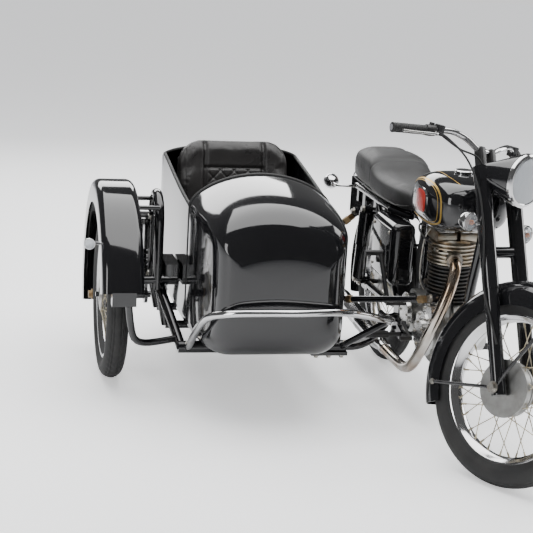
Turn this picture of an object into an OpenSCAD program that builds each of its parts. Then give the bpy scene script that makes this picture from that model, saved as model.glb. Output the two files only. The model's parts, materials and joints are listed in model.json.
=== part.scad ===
/* [Motorcycle] */
// Distance between the front and rear axles with the steering straight
wheelbase = 1370; // [1320:5:1440]
// Outer diameter of the front tyre
front_tyre_d = 650; // [630:2:670]
// Section width of the front tyre
front_tyre_w = 84; // [78:1:90]
// Outer diameter of the rear tyre
rear_tyre_d = 660; // [640:2:680]
// Section width of the rear tyre
rear_tyre_w = 90; // [84:1:96]
// Radius of the seat that the tyre beads sit on
bead_r = 241.5; // [240:0.5:243]
// Angle of the steering axis from upright
rake = 27; // [25:0.5:29]
// Distance of the fork legs ahead of the steering axis
fork_offset = 67.4; // [60:0.2:75]
// Distance between the centres of the two fork legs
fork_spread = 170; // [164:1:180]
// Angle the steering is turned to the left where it stands
steer_rest = 32; // [0:1:36]
// Diameter of the frame's main tubes
frame_tube_d = 35; // [30:1:38]
// Distance of the swinging arm pivot ahead of the rear axle
pivot_ahead = 470; // [460:1:480]
// Height of the swinging arm pivot
pivot_z = 340; // [335:1:350]
// Diameter of the exhaust header pipe
header_d = 41; // [36:1:44]
// Diameter of the silencer's body
silencer_d = 76; // [64:1:82]
// Diameter of the handlebar tube
bar_d = 22; // [20:1:25]
// Half width of the fuel tank at its widest
tank_half_w = 146; // [125:1:160]

/* [Sidecar] */
// Distance from the motorcycle's centre plane to the sidecar wheel's centre plane
track = 1184; // [1150:1:1230]
// Distance of the sidecar axle ahead of the rear axle
wheel_lead = 196; // [160:1:230]
// Outer diameter of the sidecar tyre
side_tyre_d = 650; // [630:2:670]
// Section width of the sidecar tyre
side_tyre_w = 84; // [78:1:90]
// Diameter of the chassis cross tubes
cross_tube_d = 46; // [40:1:50]
// Height of the chassis tubes' centre lines
chassis_z = 203; // [195:1:215]
// Distance of the body's centre plane from the motorcycle's centre plane
body_x = 650; // [640:1:665]
// Half width of the body at the seat
body_half_w = 280; // [255:1:285]
// Thickness of the body's walls
body_wall = 8; // [5:1:12]
// Width of the sidecar wheel's mudguard
guard_w = 155; // [140:1:170]
// Outer radius of the sidecar wheel's mudguard
guard_r = 450; // [430:1:460]
// Depth of the mudguard's side walls
guard_depth = 90; // [60:1:100]
// Diameter of the bumper tube
bumper_d = 28; // [24:1:32]

/* [Hidden] */
$fn = 48;
// Running gap between pieces that meet on a curved face
gap = 0.3;
front_r = front_tyre_d / 2;
rear_r = rear_tyre_d / 2;
side_r = side_tyre_d / 2;
// The design frame has its origin on the floor under the rear axle, +X to the rider's left and
// +Y rearwards. The model is then moved so that its origin is under the middle of the whole.
origin_shift = [508, 539, 0];

// Steering geometry: the axis meets the floor ahead of the front tyre's contact.
trail = (front_r * sin(rake) - fork_offset) / cos(rake);
steer_foot = [0, -wheelbase - trail, 0];
// Height of the front axle along the steering axis, so that the turned wheel stands on the floor.
front_crown_r = front_tyre_w / 2;
wheel_lean = asin(sin(steer_rest) * sin(rake));
front_drop = (front_r - front_crown_r) * cos(wheel_lean) + front_crown_r;
axle_up = (front_drop - fork_offset * cos(steer_rest) * sin(rake)) / cos(rake);

// ---- helpers ----
module in_place() translate(origin_shift) children();
// Straight round bar between two points.
module rod(a, b, d) {
    v = b - a;
    translate(a) rotate([0, acos(v[2] / norm(v)), atan2(v[1], v[0])]) cylinder(d = d, h = norm(v));
}
// Bars along a list of points, with a ball a little larger than the bar at each inner point.
module chain_of_rods(points, d) {
    for (i = [0:len(points) - 2]) rod(points[i], points[i + 1], d);
    for (i = [1:1:len(points) - 2]) translate(points[i]) sphere(d = d + 1);
}
// Cylinder along X from x0 to x1 around the line through y, z.
module x_cyl(x0, x1, y, z, d) translate([min(x0, x1), y, z]) rotate([0, 90, 0]) cylinder(d = d, h = abs(x1 - x0));
module box(lo, hi) translate(lo) cube(hi - lo);
module both_sides() {
    children();
    mirror([1, 0, 0]) children();
}
module rounded_rect(size, r) {
    translate([-size[0] / 2 + r, -size[1] / 2]) square([size[0] - 2 * r, size[1]]);
    translate([-size[0] / 2, -size[1] / 2 + r]) square([size[0], size[1] - 2 * r]);
    for (sx = [-1, 1], sy = [-1, 1])
        translate([sx * (size[0] / 2 - r), sy * (size[1] / 2 - r)]) circle(r = r);
}
// Plate with an outline in Y and Z, from x0 to x1.
module yz_plate(x0, x1) translate([x0, 0, 0]) rotate([90, 0, 90]) linear_extrude(x1 - x0) children();
// Rounded block whose outline is in Y and Z.
module side_block(x0, x1, y0, y1, z0, z1, r)
    yz_plate(x0, x1) translate([(y0 + y1) / 2, (z0 + z1) / 2]) rounded_rect([y1 - y0, z1 - z0], r);

function unit(v) = v / norm(v);
// Smooth curve through hand-chosen points, with steps rings between each pair.
function spline_at(p, i, t) =
    let (n = len(p) - 1, a = p[max(i - 1, 0)], b = p[i], c = p[min(i + 1, n)], d = p[min(i + 2, n)])
    0.5 * (2 * b + (c - a) * t + (2 * a - 5 * b + 4 * c - d) * t * t + (3 * b - a - 3 * c + d) * t * t * t);
function smooth(p, steps) =
    concat([for (i = [0:len(p) - 2], k = [0:steps - 1]) spline_at(p, i, k / steps)], [p[len(p) - 1]]);
function tangents(p) = let (n = len(p) - 1) [for (i = [0:n]) unit(p[min(i + 1, n)] - p[max(i - 1, 0)])];
function side_vectors(t) =
    let (s = unit(cross(t[0], abs(t[0][2]) < 0.9 ? [0, 0, 1] : [0, 1, 0])))
    [for (i = 0, n = s; i < len(t); i = i + 1, n = i < len(t) ? unit(n - t[i] * (n * t[i])) : n) n];
// Closed skin over rings that all have the same number of points.
module skin(rings) {
    m = len(rings);
    n = len(rings[0]);
    walls = [for (i = [0:m - 2], j = [0:n - 1])
        [i * n + j, i * n + (j + 1) % n, (i + 1) * n + (j + 1) % n, (i + 1) * n + j]];
    ends = [[for (j = [n - 1:-1:0]) j], [for (j = [0:n - 1]) (m - 1) * n + j]];
    polyhedron(points = [for (r = rings) each r], faces = concat(walls, ends));
}
// Round tube swept along a smooth curve through the points.
module pipe(points, d, sides = 12, steps = 3) {
    c = smooth(points, steps);
    t = tangents(c);
    s = side_vectors(t);
    skin([for (i = [0:len(c) - 1]) let (u = cross(t[i], s[i]))
        [for (k = [0:sides - 1]) c[i] + d / 2 * (cos(360 * k / sides) * s[i] - sin(360 * k / sides) * u)]]);
}
// Rounded cross-section in X and Z at one place along Y.
function power(v, e) = sign(v) * pow(abs(v), e);
function section(x, half_w, y, z0, z1, e, n) =
    [for (k = [0:n - 1]) let (a = 360 * k / n)
        [x + half_w * power(sin(a), e), y, (z0 + z1) / 2 + (z1 - z0) / 2 * power(cos(a), e)]];
// Closed form through stations [y, half width, bottom, top].
module loft(x, stations, e = 0.6, n = 24) skin([for (s = stations) section(x, s[1], s[0], s[2], s[3], e, n)]);

// ---- wheels: axis along X, centre at the origin ----
rim_half = 29;
rim_flange_r = bead_r + 8;
module tyre_solid(r, w) rotate([0, 90, 0]) rotate_extrude($fn = 96) difference() {
    union() {
        translate([r - w / 2, 0]) circle(d = w);
        translate([bead_r, 4 - rim_half]) square([22, 2 * rim_half - 8]);
    }
    square([2 * bead_r, 2 * w], center = true);
    for (s = [-1, 1]) translate([bead_r - 5, s * 34 - 10 + s * 0.6]) square([14, 20]);
}
module rim_ring() rotate([0, 90, 0]) rotate_extrude($fn = 96) polygon([[rim_flange_r, -rim_half],
    [rim_flange_r, 3 - rim_half], [bead_r - 1, 4 - rim_half], [bead_r - 1, -13], [bead_r - 13, -8],
    [bead_r - 13, 8], [bead_r - 1, 13], [bead_r - 1, rim_half - 4], [rim_flange_r, rim_half - 3],
    [rim_flange_r, rim_half], [bead_r - 5, rim_half - 1], [bead_r - 9, 15], [bead_r - 18, 11],
    [bead_r - 18, -11], [bead_r - 9, -15], [bead_r - 5, 1 - rim_half]]);
spoke_d = 4;
spokes_each_side = 18;
rim_in_r = bead_r - 16;
// Spokes of one flange, all leaning the same way.
module spoke_set(flange_r, flange_x, rim_x, lean, turn)
    for (i = [0:spokes_each_side - 1]) let (a = i * 360 / spokes_each_side + turn)
        rod([flange_x, flange_r * cos(a + lean), flange_r * sin(a + lean)],
            [rim_x, rim_in_r * cos(a), rim_in_r * sin(a)], spoke_d);
// Hub whose brake drum is on the side given by the sign of drum_side.
module hub_solid(drum_r, drum_side, bore_d) difference() {
    union() {
        x_cyl(-44, 44, 0, 0, 66);
        x_cyl(drum_side * 12, drum_side * 50, 0, 0, 2 * drum_r);
        x_cyl(-drum_side * 36, -drum_side * 42, 0, 0, 124);
    }
    x_cyl(-60, 60, 0, 0, bore_d);
}
axle_d = 20;
module spoked_wheel(drum_r, drum_side) {
    hub_solid(drum_r, drum_side, axle_d + 2 * gap);
    rim_ring();
    spoke_set(drum_r - 3, drum_side * 46, drum_side * 4, 24, 0);
    spoke_set(58, -drum_side * 39, -drum_side * 4, -62, 180 / spokes_each_side);
}

// ---- steering group places ----
// Unturned design coordinates, turned to where the steering stands.
module steered() translate(steer_foot) rotate([-rake, 0, 0]) rotate([0, 0, steer_rest]) rotate([rake, 0, 0])
    translate(-steer_foot) children();
// Local frame of the steering: +Z up the steering axis from the floor, +Y rearwards.
module on_axis() translate(steer_foot) rotate([-rake, 0, 0]) children();
module turned() on_axis() rotate([0, 0, steer_rest]) children();
leg_x = fork_spread / 2;
head_low = 825;
head_high = 990;
stem_d = 30;
leg_low_d = 50;
leg_top_d = 56;
leg_join = axle_up + 330;
leg_top = axle_up + 700;
module front_hub_place() turned() translate([0, -fork_offset, axle_up]) children();

// ---- motorcycle frame ----
seat_rail_x = 105;
seat_rail_d = 25;
pivot = [0, -pivot_ahead, pivot_z];
plate_x = 95;
plate_t = 8;
footrest_yz = [-530, 258];
stand_yz = [-452, 262];
engine_plate_x = 22;
front_mount = [0, -905, 330];
strut_stud_front = [-862, 490];
strut_stud_rear = [60, 615];
shock_x = 136;
shock_low = [-25, 350];
shock_high = [-78, 655];
stud_d = 16;
box_pin = [-492, 600];
rail_z = 700.2;
// Brace from the pivot plate up to the seat rail.
brace_low = [99, -455, 370.4];
brace_high = [103, -110, 694];
brace_d = 20;
ball_extra = 2;
pivot_tube_d = 40;
pivot_pin_d = 20;
module frame() in_place() color("#141414") {
    top_rear = [0, -505, 742];
    on_axis() difference() {
        translate([0, 0, head_low]) cylinder(d = 54, h = head_high - head_low);
        translate([0, 0, head_low - 1]) cylinder(d = stem_d + 2 * gap, h = head_high - head_low + 2);
    }
    difference() {
        union() {
            rod([0, -1060, 812], top_rear, frame_tube_d);
            rod([0, -1052, 806], front_mount, frame_tube_d);
        }
        on_axis() translate([0, 0, head_low - 20]) cylinder(d = 50, h = head_high - head_low + 40);
        box([-engine_plate_x, -960, 250], [engine_plate_x, -830, 372]);
    }
    translate(top_rear) sphere(d = frame_tube_d + ball_extra);
    x_cyl(-engine_plate_x - 5, engine_plate_x + 5, -922, 385, 22);
    rod(top_rear, [0, -479.8, 376], frame_tube_d);
    x_cyl(-61.7, 61.7, box_pin[0], box_pin[1], 12);
    for (s = [-1, 1]) {
        chain_of_rods([[s * 60, -442, rail_z], [s * seat_rail_x, -300, rail_z],
            [s * seat_rail_x, 200, rail_z], [s * 60, 262, rail_z]], seat_rail_d);
        rod([s * brace_low[0], brace_low[1], brace_low[2]],
            [s * brace_high[0], brace_high[1], brace_high[2]], brace_d);
        x_cyl(s * 104, s * (shock_x + 14), shock_high[0], shock_high[1], stud_d - 1);
        side_block(min(s * 94, s * 105), max(s * 94, s * 105), shock_high[0] - 16, shock_high[0] + 16,
            shock_high[1] - 20, rail_z - 4, 8);
    }
    // Pressed cross plate behind the saddle's middle.
    box([-seat_rail_x, 140, rail_z - 8], [seat_rail_x, 184, rail_z - 2]);
    // Pivot plates carry the swinging arm, the footrest bar and the centre stand.
    for (s = [-1, 1]) difference() {
        yz_plate(s > 0 ? plate_x : -plate_x - plate_t, s > 0 ? plate_x + plate_t : -plate_x)
            polygon([[-556, 236], [-430, 236], [-430, 400], [-494, 400], [-494, 284], [-556, 268]]);
        for (p = [footrest_yz, stand_yz]) x_cyl(-120, 120, p[0], p[1], stud_d + 2 * gap);
    }
    x_cyl(-plate_x - 1, plate_x + 1, pivot[1], pivot[2], pivot_pin_d);
    rod([-97, -474, 386], [97, -474, 386], 18);
    // Engine plates at the front and rear of the crankcase.
    for (s = [-1, 1]) {
        x0 = s > 0 ? engine_plate_x : -engine_plate_x - 6;
        yz_plate(x0, x0 + 6) polygon([[-930, 300], [-892, 300], [-892, 372], [-900, 400], [-936, 400]]);
    }
    yz_plate(-engine_plate_x - 12, -engine_plate_x - 6) polygon([[-930, 300], [-892, 300], [-893, 378],
        [-850, 478], [-850, 502], [-876, 502], [-930, 390]]);
    x_cyl(-engine_plate_x - 7, -112, strut_stud_front[0], strut_stud_front[1], stud_d);
    // Lug and stud for the sidecar's rear strut.
    side_block(-112, -104, strut_stud_rear[0] - 18, strut_stud_rear[0] + 18, strut_stud_rear[1] - 16, rail_z - 4, 10);
    x_cyl(-111, -152, strut_stud_rear[0], strut_stud_rear[1], stud_d);
}
module swingarm() in_place() color("#161616") {
    difference() {
        union() {
            x_cyl(-plate_x + gap, plate_x - gap, pivot[1], pivot[2], pivot_tube_d);
            for (s = [-1, 1]) {
                chain_of_rods([[s * 76, pivot[1], pivot[2]], [s * 79, -404, 338], [s * 99, -320, 336],
                    [s * 99, -40, rear_r]], 30);
                side_block(s > 0 ? 94 : -104, s > 0 ? 104 : -94, -50, 32, rear_r - 30, rear_r + 40, 12);
                x_cyl(s * 100, s * (shock_x + 14), shock_low[0], shock_low[1], stud_d - 1);
            }
        }
        x_cyl(-120, 120, pivot[1], pivot[2], pivot_pin_d + 2 * gap);
    }
    x_cyl(-124, 124, 0, rear_r, axle_d);
}
module rear_shocks() in_place() both_sides() {
    low = [shock_x, shock_low[0], shock_low[1]];
    high = [shock_x, shock_high[0], shock_high[1]];
    along = high - low;
    color("#1a1a1a") difference() {
        union() {
            rod(low + 0.03 * along, low + 0.55 * along, 54);
            rod(low + 0.5 * along, low + 0.97 * along, 60);
            for (p = [low, high]) x_cyl(shock_x - 12, shock_x + 12, p[1], p[2], 30);
        }
        for (p = [low, high]) x_cyl(shock_x - 40, shock_x + 40, p[1], p[2], stud_d - 1 + 2 * gap);
    }
}

// ---- engine ----
crank = [-770, 345];
gearbox = [-590, 360];
case_half = 62;
module crankcase() in_place() color("#8d8f92") {
    x_cyl(-case_half, case_half, crank[0], crank[1], 236);
    side_block(-case_half, case_half, -850, -650, 232, 330, 20);
    side_block(-70, 46, gearbox[0] - 85, gearbox[0] + 85, gearbox[1] - 85, gearbox[1] + 85, 50);
    x_cyl(0, 74.7, gearbox[0], gearbox[1], 60);
    box([-engine_plate_x + gap, -918, 312], [engine_plate_x - gap, -870, 366]);
    box([-engine_plate_x + gap, -520, 385], [engine_plate_x - gap, -501, 425]);
    x_cyl(0, 74.7, crank[0], crank[1], 70);
    box([-55, -800, 440], [55, -690, 463.7]);
}
module primary_case() in_place() color("#b9bbbe") {
    hull() {
        x_cyl(75, 128, crank[0], crank[1], 150);
        x_cyl(75, 128, gearbox[0], 352, 176);
    }
    x_cyl(127, 140, gearbox[0], 352, 130);
}
module right_covers() in_place() color("#c3c5c8") {
    difference() {
        union() {
            x_cyl(-case_half - gap, -98, crank[0] + 10, crank[1] - 15, 165);
            x_cyl(-case_half - gap, -92, crank[0] - 30, crank[1] + 70, 96);
            x_cyl(-97, -108, crank[0] + 10, crank[1] - 15, 110);
        }
        box([-130, gearbox[0] - 85 - 20, 200], [-50, gearbox[0] + 100, 500]);
    }
    x_cyl(-70 - gap, -104, gearbox[0] + 4, gearbox[1] + 4, 150);
    x_cyl(-103, -112, gearbox[0] + 4, gearbox[1] + 4, 96);
}
barrel_y = -745;
barrel_low = 464;
barrel_high = 602;
module finned(r, core_r, z0, z1, pitch, fin_t) {
    stack_h = z1 - z0;
    translate([0, 0, z0]) rotate_extrude($fn = 64) {
        square([core_r, stack_h]);
        for (z = [0:pitch:stack_h - fin_t]) translate([0, z]) square([r, fin_t]);
    }
}
module cylinder_barrel() in_place() color("#3c3d3f") {
    translate([0, barrel_y, 0]) finned(80, 56, barrel_low, barrel_high, 14, 5);
    x_cyl(-50, -88, barrel_y + 20, 520, 20);
}
port_in = [-12, -795, 640];
port_out = [-20, -838, 628];
module cylinder_head() in_place() color("#a5a7a9") {
    translate([0, barrel_y, 0]) finned(88, 66, barrel_high, 690, 14, 5);
    for (s = [-1, 1]) side_block(s > 0 ? 8 : -78, s > 0 ? 78 : -8, barrel_y - 62, barrel_y + 62, 685, 722, 14);
    rod(port_in, port_out, 54);
    rod([18, barrel_y + 50, 648], [18, -640, 648], 46);
}
module carburettor() in_place() color("#a9abad") {
    rod([18, -640 + gap, 648], [18, -570, 648], 46);
    translate([18, -606, 600]) cylinder(d = 52, h = 50);
    translate([18, -606, 650]) cylinder(d = 36, h = 66);
    rod([18, -571, 648], [18, -520, 648], 56);
}
header_route = [port_out, [-30, -880, 606], [-52, -908, 545], [-78, -912, 470], [-102, -896, 390],
    [-119, -850, 300], [-125, -770, 214], [-124, -680, 176], [-124, -560, 168], [-126, -436, 169]];
silencer_start = [-126, -438, 169];
silencer_end = [-150, 250, 222];
// The header's ends are cut square to the port and to the silencer's inlet.
module exhaust_header() in_place() color("#d9d9dc") difference() {
    pipe(header_route, header_d, 16, 3);
    rod(port_in, port_out + gap * unit(port_out - port_in), header_d + 20);
    rod(silencer_start, silencer_end, header_d + 20);
}
module silencer() in_place() color("#d4d4d8") {
    v = silencer_end - silencer_start;
    len_s = norm(v);
    translate(silencer_start) rotate([0, acos(v[2] / len_s), atan2(v[1], v[0])]) rotate_extrude() difference() {
        polygon([[0, gap], [header_d / 2 + 2, gap], [header_d / 2 + 2, 30], [silencer_d / 2, 130],
            [silencer_d / 2, len_s - 90], [20, len_s], [0, len_s]]);
        translate([0, len_s - 60]) square([15, 70]);
    }
}

// ---- tank, saddle and bodywork of the motorcycle ----
tank_grow = tank_half_w / 146;
tank_stations = [[-986, 52, 812, 862], [-975, 88, 782, 892], [-940, 122, 756, 918], [-860, 142, 738, 936],
    [-760, 146, 732, 938], [-660, 136, 732, 920], [-580, 114, 736, 888], [-520, 84, 740, 848], [-500, 56, 750, 820]];
module fuel_tank() in_place() color("#101010") difference() {
    loft(0, [for (s = tank_stations) [s[0], s[1] * tank_grow, s[2], s[3]]], 0.62, 28);
    rod([0, -1060, 812], [0, -470, 737.6], frame_tube_d + 2 * gap);
    yz_plate(-frame_tube_d / 2 - gap, frame_tube_d / 2 + gap)
        polygon([[-1060, 812], [-470, 737.6], [-470, 690], [-1060, 690]]);
    translate([0, -505, 742]) sphere(d = frame_tube_d + ball_extra + 2 * gap);
    translate([0, -800, 926]) cylinder(d = 60, h = 30);
}
module filler_cap() in_place() color("#cfd0d2") {
    translate([0, -800, 926 + gap]) cylinder(d = 58, h = 16);
    translate([0, -800, 940]) cylinder(d = 66, h = 12);
}
saddle_stations = [[-494, 60, 758, 786], [-474, 92, 735, 808], [-400, 120, 718, 818], [-250, 134, 707.5, 814],
    [-120, 137, 707.5, 820], [-60, 136, 707.5, 846], [-20, 134, 707.5, 864], [100, 130, 707.5, 870], [220, 120, 716, 866],
    [275, 96, 726, 850], [296, 60, 750, 826]];
module saddle() in_place() color("#1b1b1c") difference() {
    loft(0, saddle_stations, 0.5, 24);
    translate([0, -505, 742]) sphere(d = frame_tube_d + ball_extra + 2 * gap);
}
module side_boxes() in_place() color("#121212") both_sides() difference() {
    union() {
        side_block(62, 150, -520, -238, 440, 687, 40);
        side_block(149, 158, -500, -258, 460, 668, 30);
    }
    rod(brace_low, brace_high, brace_d + 10);
}
rear_guard_r = 372;
module rear_mudguard() in_place() color("#111111") {
    translate([0, 0, rear_r]) rotate([0, 90, 0]) rotate([0, 0, 68]) rotate_extrude(angle = 142, $fn = 96)
        difference() {
            translate([rear_guard_r - 78, 0]) circle(r = 78);
            translate([rear_guard_r - 78, 0]) circle(r = 74.5);
            translate([0, -100]) square([rear_guard_r - 50, 200]);
        }
    both_sides() {
        box([46, 150, 640], [110, 176, 648]);
        box([100, 150, 640], [110, 176, rail_z - seat_rail_d / 2 - gap]);
    }
}
module number_plate() in_place() color("#dcdcdc") {
    difference() {
        box([-90, 344, 560], [90, 347, 714]);
        for (s = [-1, 1]) translate([s * 60, 0, 680]) rotate([-90, 0, 0]) cylinder(d = 6, h = 800);
    }
}
module tail_lamp() in_place() color("#b01818") {
    box([-30, 296, 705], [30, 343.7, 720]);
    translate([0, 340, 765]) rotate([-90, 0, 0]) cylinder(d = 84, h = 34);
    box([-14, 312, 533], [14, 320, 770]);
    box([-14, 312, 760], [14, 344, 770]);
}
module rear_indicators() in_place() color("#c8c9cb") both_sides() {
    x_cyl(seat_rail_x + seat_rail_d / 2 + gap, 206, 180, rail_z, 12);
    rod([200, 178, rail_z], [200, 250, rail_z], 12);
    translate([200, 240, rail_z]) rotate([-90, 0, 0]) cylinder(d = 66, h = 56);
}
module foot_controls() in_place() color("#2a2a2b") {
    x_cyl(-238, 238, footrest_yz[0], footrest_yz[1], stud_d);
    both_sides() x_cyl(150, 237, footrest_yz[0], footrest_yz[1], 28);
    // Kick-start crank.
    x_cyl(-112.3, -176, -560, 392, 22);
    rod([-170, -560, 392], [-178, -450, 560], 18);
    x_cyl(-170, -240, -450, 560, 22);
    // Gear lever.
    x_cyl(-112.3, -130, -622, 330, 16);
    rod([-122, -622, 330], [-126, -730, 302], 12);
    x_cyl(-120, -165, -730, 302, 18);
    // Rear brake pedal.
    rod([158, -530, 238], [172, -690, 262], 12);
    box([150, -730, 256], [196, -680, 268]);
}
chain_x = [51, 60];
rear_sprocket_r = 96;
module chain_loop(grow) hull() {
    translate([0, rear_r]) circle(r = rear_sprocket_r + grow);
    translate([gearbox[0], gearbox[1]]) circle(r = 34 + grow);
}
module drive_chain() in_place() color("#5b5b5d") {
    yz_plate(chain_x[0], chain_x[1]) difference() {
        chain_loop(10);
        chain_loop(0.8);
    }
}
stand_leg_x = 76;
stand_leg_d = 18;
stand_reach = 262;
module centre_stand() in_place() color("#171717") {
    x_cyl(-112, 112, stand_yz[0], stand_yz[1], stud_d);
    for (s = [-1, 1]) {
        rod([s * stand_leg_x, stand_yz[0], stand_yz[1]],
            [s * stand_leg_x, stand_yz[0] + stand_reach, stand_yz[1] - 14], stand_leg_d);
        translate([s * stand_leg_x, stand_yz[0] + stand_reach, stand_yz[1] - 14]) sphere(d = stand_leg_d + 4);
    }
    rod([-stand_leg_x, stand_yz[0] + 62, stand_yz[1] - 3], [stand_leg_x, stand_yz[0] + 62, stand_yz[1] - 3], 16);
}

// ---- steering group ----
module fork() in_place() turned() color("#151515") {
    for (s = [-1, 1]) translate([s * leg_x, -fork_offset, 0]) {
        translate([0, 0, axle_up - 26]) cylinder(d = leg_low_d, h = 330 + 27);
        translate([0, 0, leg_join]) cylinder(d = leg_top_d, h = leg_top - leg_join);
    }
    difference() {
        union() {
            for (s = [-1, 1]) rod([s * leg_x, -fork_offset, head_low - 22], [0, -12, head_low - 22], 40);
            translate([0, 0, head_low - 42]) cylinder(d = 52, h = 40);
        }
        translate([-200, -200, head_low - gap]) cube([400, 400, 60]);
    }
    translate([0, 0, head_low - 40]) cylinder(d = stem_d, h = leg_top + 14 - head_low + 40);
    translate([0, -fork_offset, axle_up]) x_cyl(-118, 118, 0, 0, axle_d);
}
front_guard_r = 362;
module front_mudguard() in_place() steered() color("#121212") {
    centre = [0, steer_foot[1] + axle_up * sin(rake) - fork_offset * cos(rake),
        axle_up * cos(rake) + fork_offset * sin(rake)];
    translate(centre) {
        rotate([0, 90, 0]) rotate([0, 0, 62]) rotate_extrude(angle = 170, $fn = 96) difference() {
            union() {
                translate([front_guard_r - 56, 0]) circle(r = 56);
                translate([front_guard_r - 86, -56]) square([30, 112]);
            }
            translate([front_guard_r - 56, 0]) circle(r = 53);
            translate([front_guard_r - 90, -53]) square([34, 106]);
            translate([0, -100]) square([front_guard_r - 86, 200]);
        }
        for (s = [-1, 1]) x_cyl(s * 54, s * (leg_x - leg_low_d / 2 - gap), 310 * sin(rake), 310 * cos(rake), 30);
    }
}
nacelle_top = leg_top + 72;
clamp_yz = [-24, 1157];
module nacelle_solid() {
    for (s = [-1, 1]) translate([s * leg_x, -fork_offset, leg_top + gap]) cylinder(d = 60, h = 52);
    for (s = [-1, 1]) translate([s * 28, clamp_yz[0], leg_top + 40]) cylinder(d = 32, h = nacelle_top - leg_top - 40);
    hull() {
        translate([0, -10, leg_top + 36]) sphere(d = 56, $fn = 32);
        for (s = [-1, 1]) translate([s * (leg_x - 12), -fork_offset, leg_top + 14]) cylinder(d = 56, h = 40, $fn = 32);
        translate([0, -170, leg_top - 4]) rotate([90 + rake, 0, 0]) cylinder(d = 184, h = 8, $fn = 32);
    }
}
module headlamp_nacelle() in_place() turned() color("#121212") difference() {
    nacelle_solid();
    for (s = [-1, 1]) translate([s * leg_x, -fork_offset, leg_top - 300]) cylinder(d = leg_top_d + 2 * gap, h = 300 + gap);
    translate([0, 0, leg_top - 100]) cylinder(d = stem_d + 2 * gap, h = 114 + gap);
}
module headlamp() in_place() turned() color("#e4e6e8")
    translate([0, -170, leg_top - 4]) rotate([90 + rake, 0, 0]) translate([0, 0, 8 + gap]) {
        cylinder(d = 178, h = 14);
        translate([0, 0, 14]) cylinder(d = 150, h = 10);
    }
bar_route = [[-378, -852, 1036], [-300, -876, 1050], [-230, -898, 1064], [-160, -922, 1078], [-100, -944, 1068],
    [-45, -954, 1046], [0, -956, 1042], [45, -954, 1046], [100, -944, 1068], [160, -922, 1078], [230, -898, 1064],
    [300, -876, 1050], [378, -852, 1036]];
module handlebar() in_place() color("#d6d7da") {
    steered() pipe(bar_route, bar_d, 12, 2);
    turned() for (s = [-1, 1]) translate([s * 28, clamp_yz[0], nacelle_top + gap])
        cylinder(d = 26, h = clamp_yz[1] - nacelle_top - 4);
}
grip_in = [-258, -889, 1058];
grip_out = [-374, -853, 1037];
module grips() in_place() steered() color("#1a1a1a") both_sides() difference() {
    rod(grip_out, grip_in, 34);
    pipe(bar_route, bar_d + 1, 12, 2);
}
// Threaded boss for a mirror's stem on top of the lever clamp; its blind hole ends above the bar.
mirror_hole_d = 8.5;
mirror_hole_depth = 13;
mirror_boss_wall = 5;
mirror_boss_foot = [-237, -896, 1076.5];
module hand_levers() in_place() steered() color("#bfc1c4") both_sides() {
    difference() {
        union() {
            rod([-252, -891, 1059], [-222, -901, 1065], 38);
            translate(mirror_boss_foot - [0, 0, 6])
                cylinder(d = mirror_hole_d + 2 * mirror_boss_wall, h = mirror_hole_depth + 6);
        }
        pipe(bar_route, bar_d + 1, 12, 2);
        translate(mirror_boss_foot) cylinder(d = mirror_hole_d, h = mirror_hole_depth + 5);
    }
    rod([-236, -912, 1060], [-240, -938, 1056], 14);
    rod([-240, -938, 1056], [-372, -900, 1036], 11);
}
module front_brake_plate() in_place() front_hub_place() color("#9b9da0") {
    difference() {
        x_cyl(-51, -leg_x + leg_low_d / 2 + gap, 0, 0, 192);
        x_cyl(-100, 0, 0, 0, axle_d + 2 * gap);
        translate([-leg_x, 0, -26]) cylinder(d = leg_low_d + 2 * gap, h = 400);
    }
}
cable_route = [[-221, -916, 1064], [-190, -950, 1050], [-150, -1020, 1000], [-128, -1090, 910], [-121, -1142, 808],
    [-120, -1178, 720], [-119, -1206, 640], [-117, -1240, 580], [-114, -1285, 520], [-107, -1327.5, 455]];
module brake_cable() in_place() steered() color("#1d1d1d") pipe(cable_route, 7, 8, 3);
indicator_at = [-156, -1091, 808];
module front_indicators() in_place() steered() color("#c8c9cb") both_sides() {
    x_cyl(-leg_x - leg_top_d / 2 - gap, indicator_at[0] + 20, indicator_at[1] - 29, indicator_at[2], 12);
    translate([indicator_at[0], indicator_at[1] - 34, indicator_at[2]]) rotate([-90, 0, 0]) cylinder(d = 68, h = 56);
}

// ---- wheels in place ----
module front_wheel() in_place() front_hub_place() color("#c9cacc") spoked_wheel(92, -1);
module front_tyre() in_place() front_hub_place() color("#1c1c1c") tyre_solid(front_r, front_tyre_w);
module rear_wheel() in_place() translate([0, 0, rear_r]) color("#c9cacc") {
    spoked_wheel(88, 1);
    difference() {
        x_cyl(46, 59, 0, 0, 2 * rear_sprocket_r);
        x_cyl(40, 70, 0, 0, axle_d + 2 * gap);
    }
}
module rear_tyre() in_place() translate([0, 0, rear_r]) color("#1c1c1c") tyre_solid(rear_r, rear_tyre_w);
side_hub = [-track, -wheel_lead, side_r];
module sidecar_wheel() in_place() translate(side_hub) color("#c9cacc") spoked_wheel(80, 1);
module sidecar_tyre() in_place() translate(side_hub) color("#1c1c1c") tyre_solid(side_r, side_tyre_w);

// ---- sidecar chassis ----
front_tube_y = -500;
rear_tube_y = 360;
outer_x = -945;
arch_x = -1000;
inner_rail_x = -345;
arch_z = 372;
hoop_x = -1016;
hoop_y = [-wheel_lead - 94, -wheel_lead + 94];
hoop_z = 727;
rail_d = 38;
arm_x = [-1053, -1041];
arm_pivot = [84, 330];
shock_top_z = 650;
shock_x_side = arm_x[0] - 13;
guard_in_x = -track + 2.5 + guard_w / 2;
rail_front = [outer_x, front_tube_y, chassis_z];
rail_knee = [arch_x, -236, arch_z];
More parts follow.
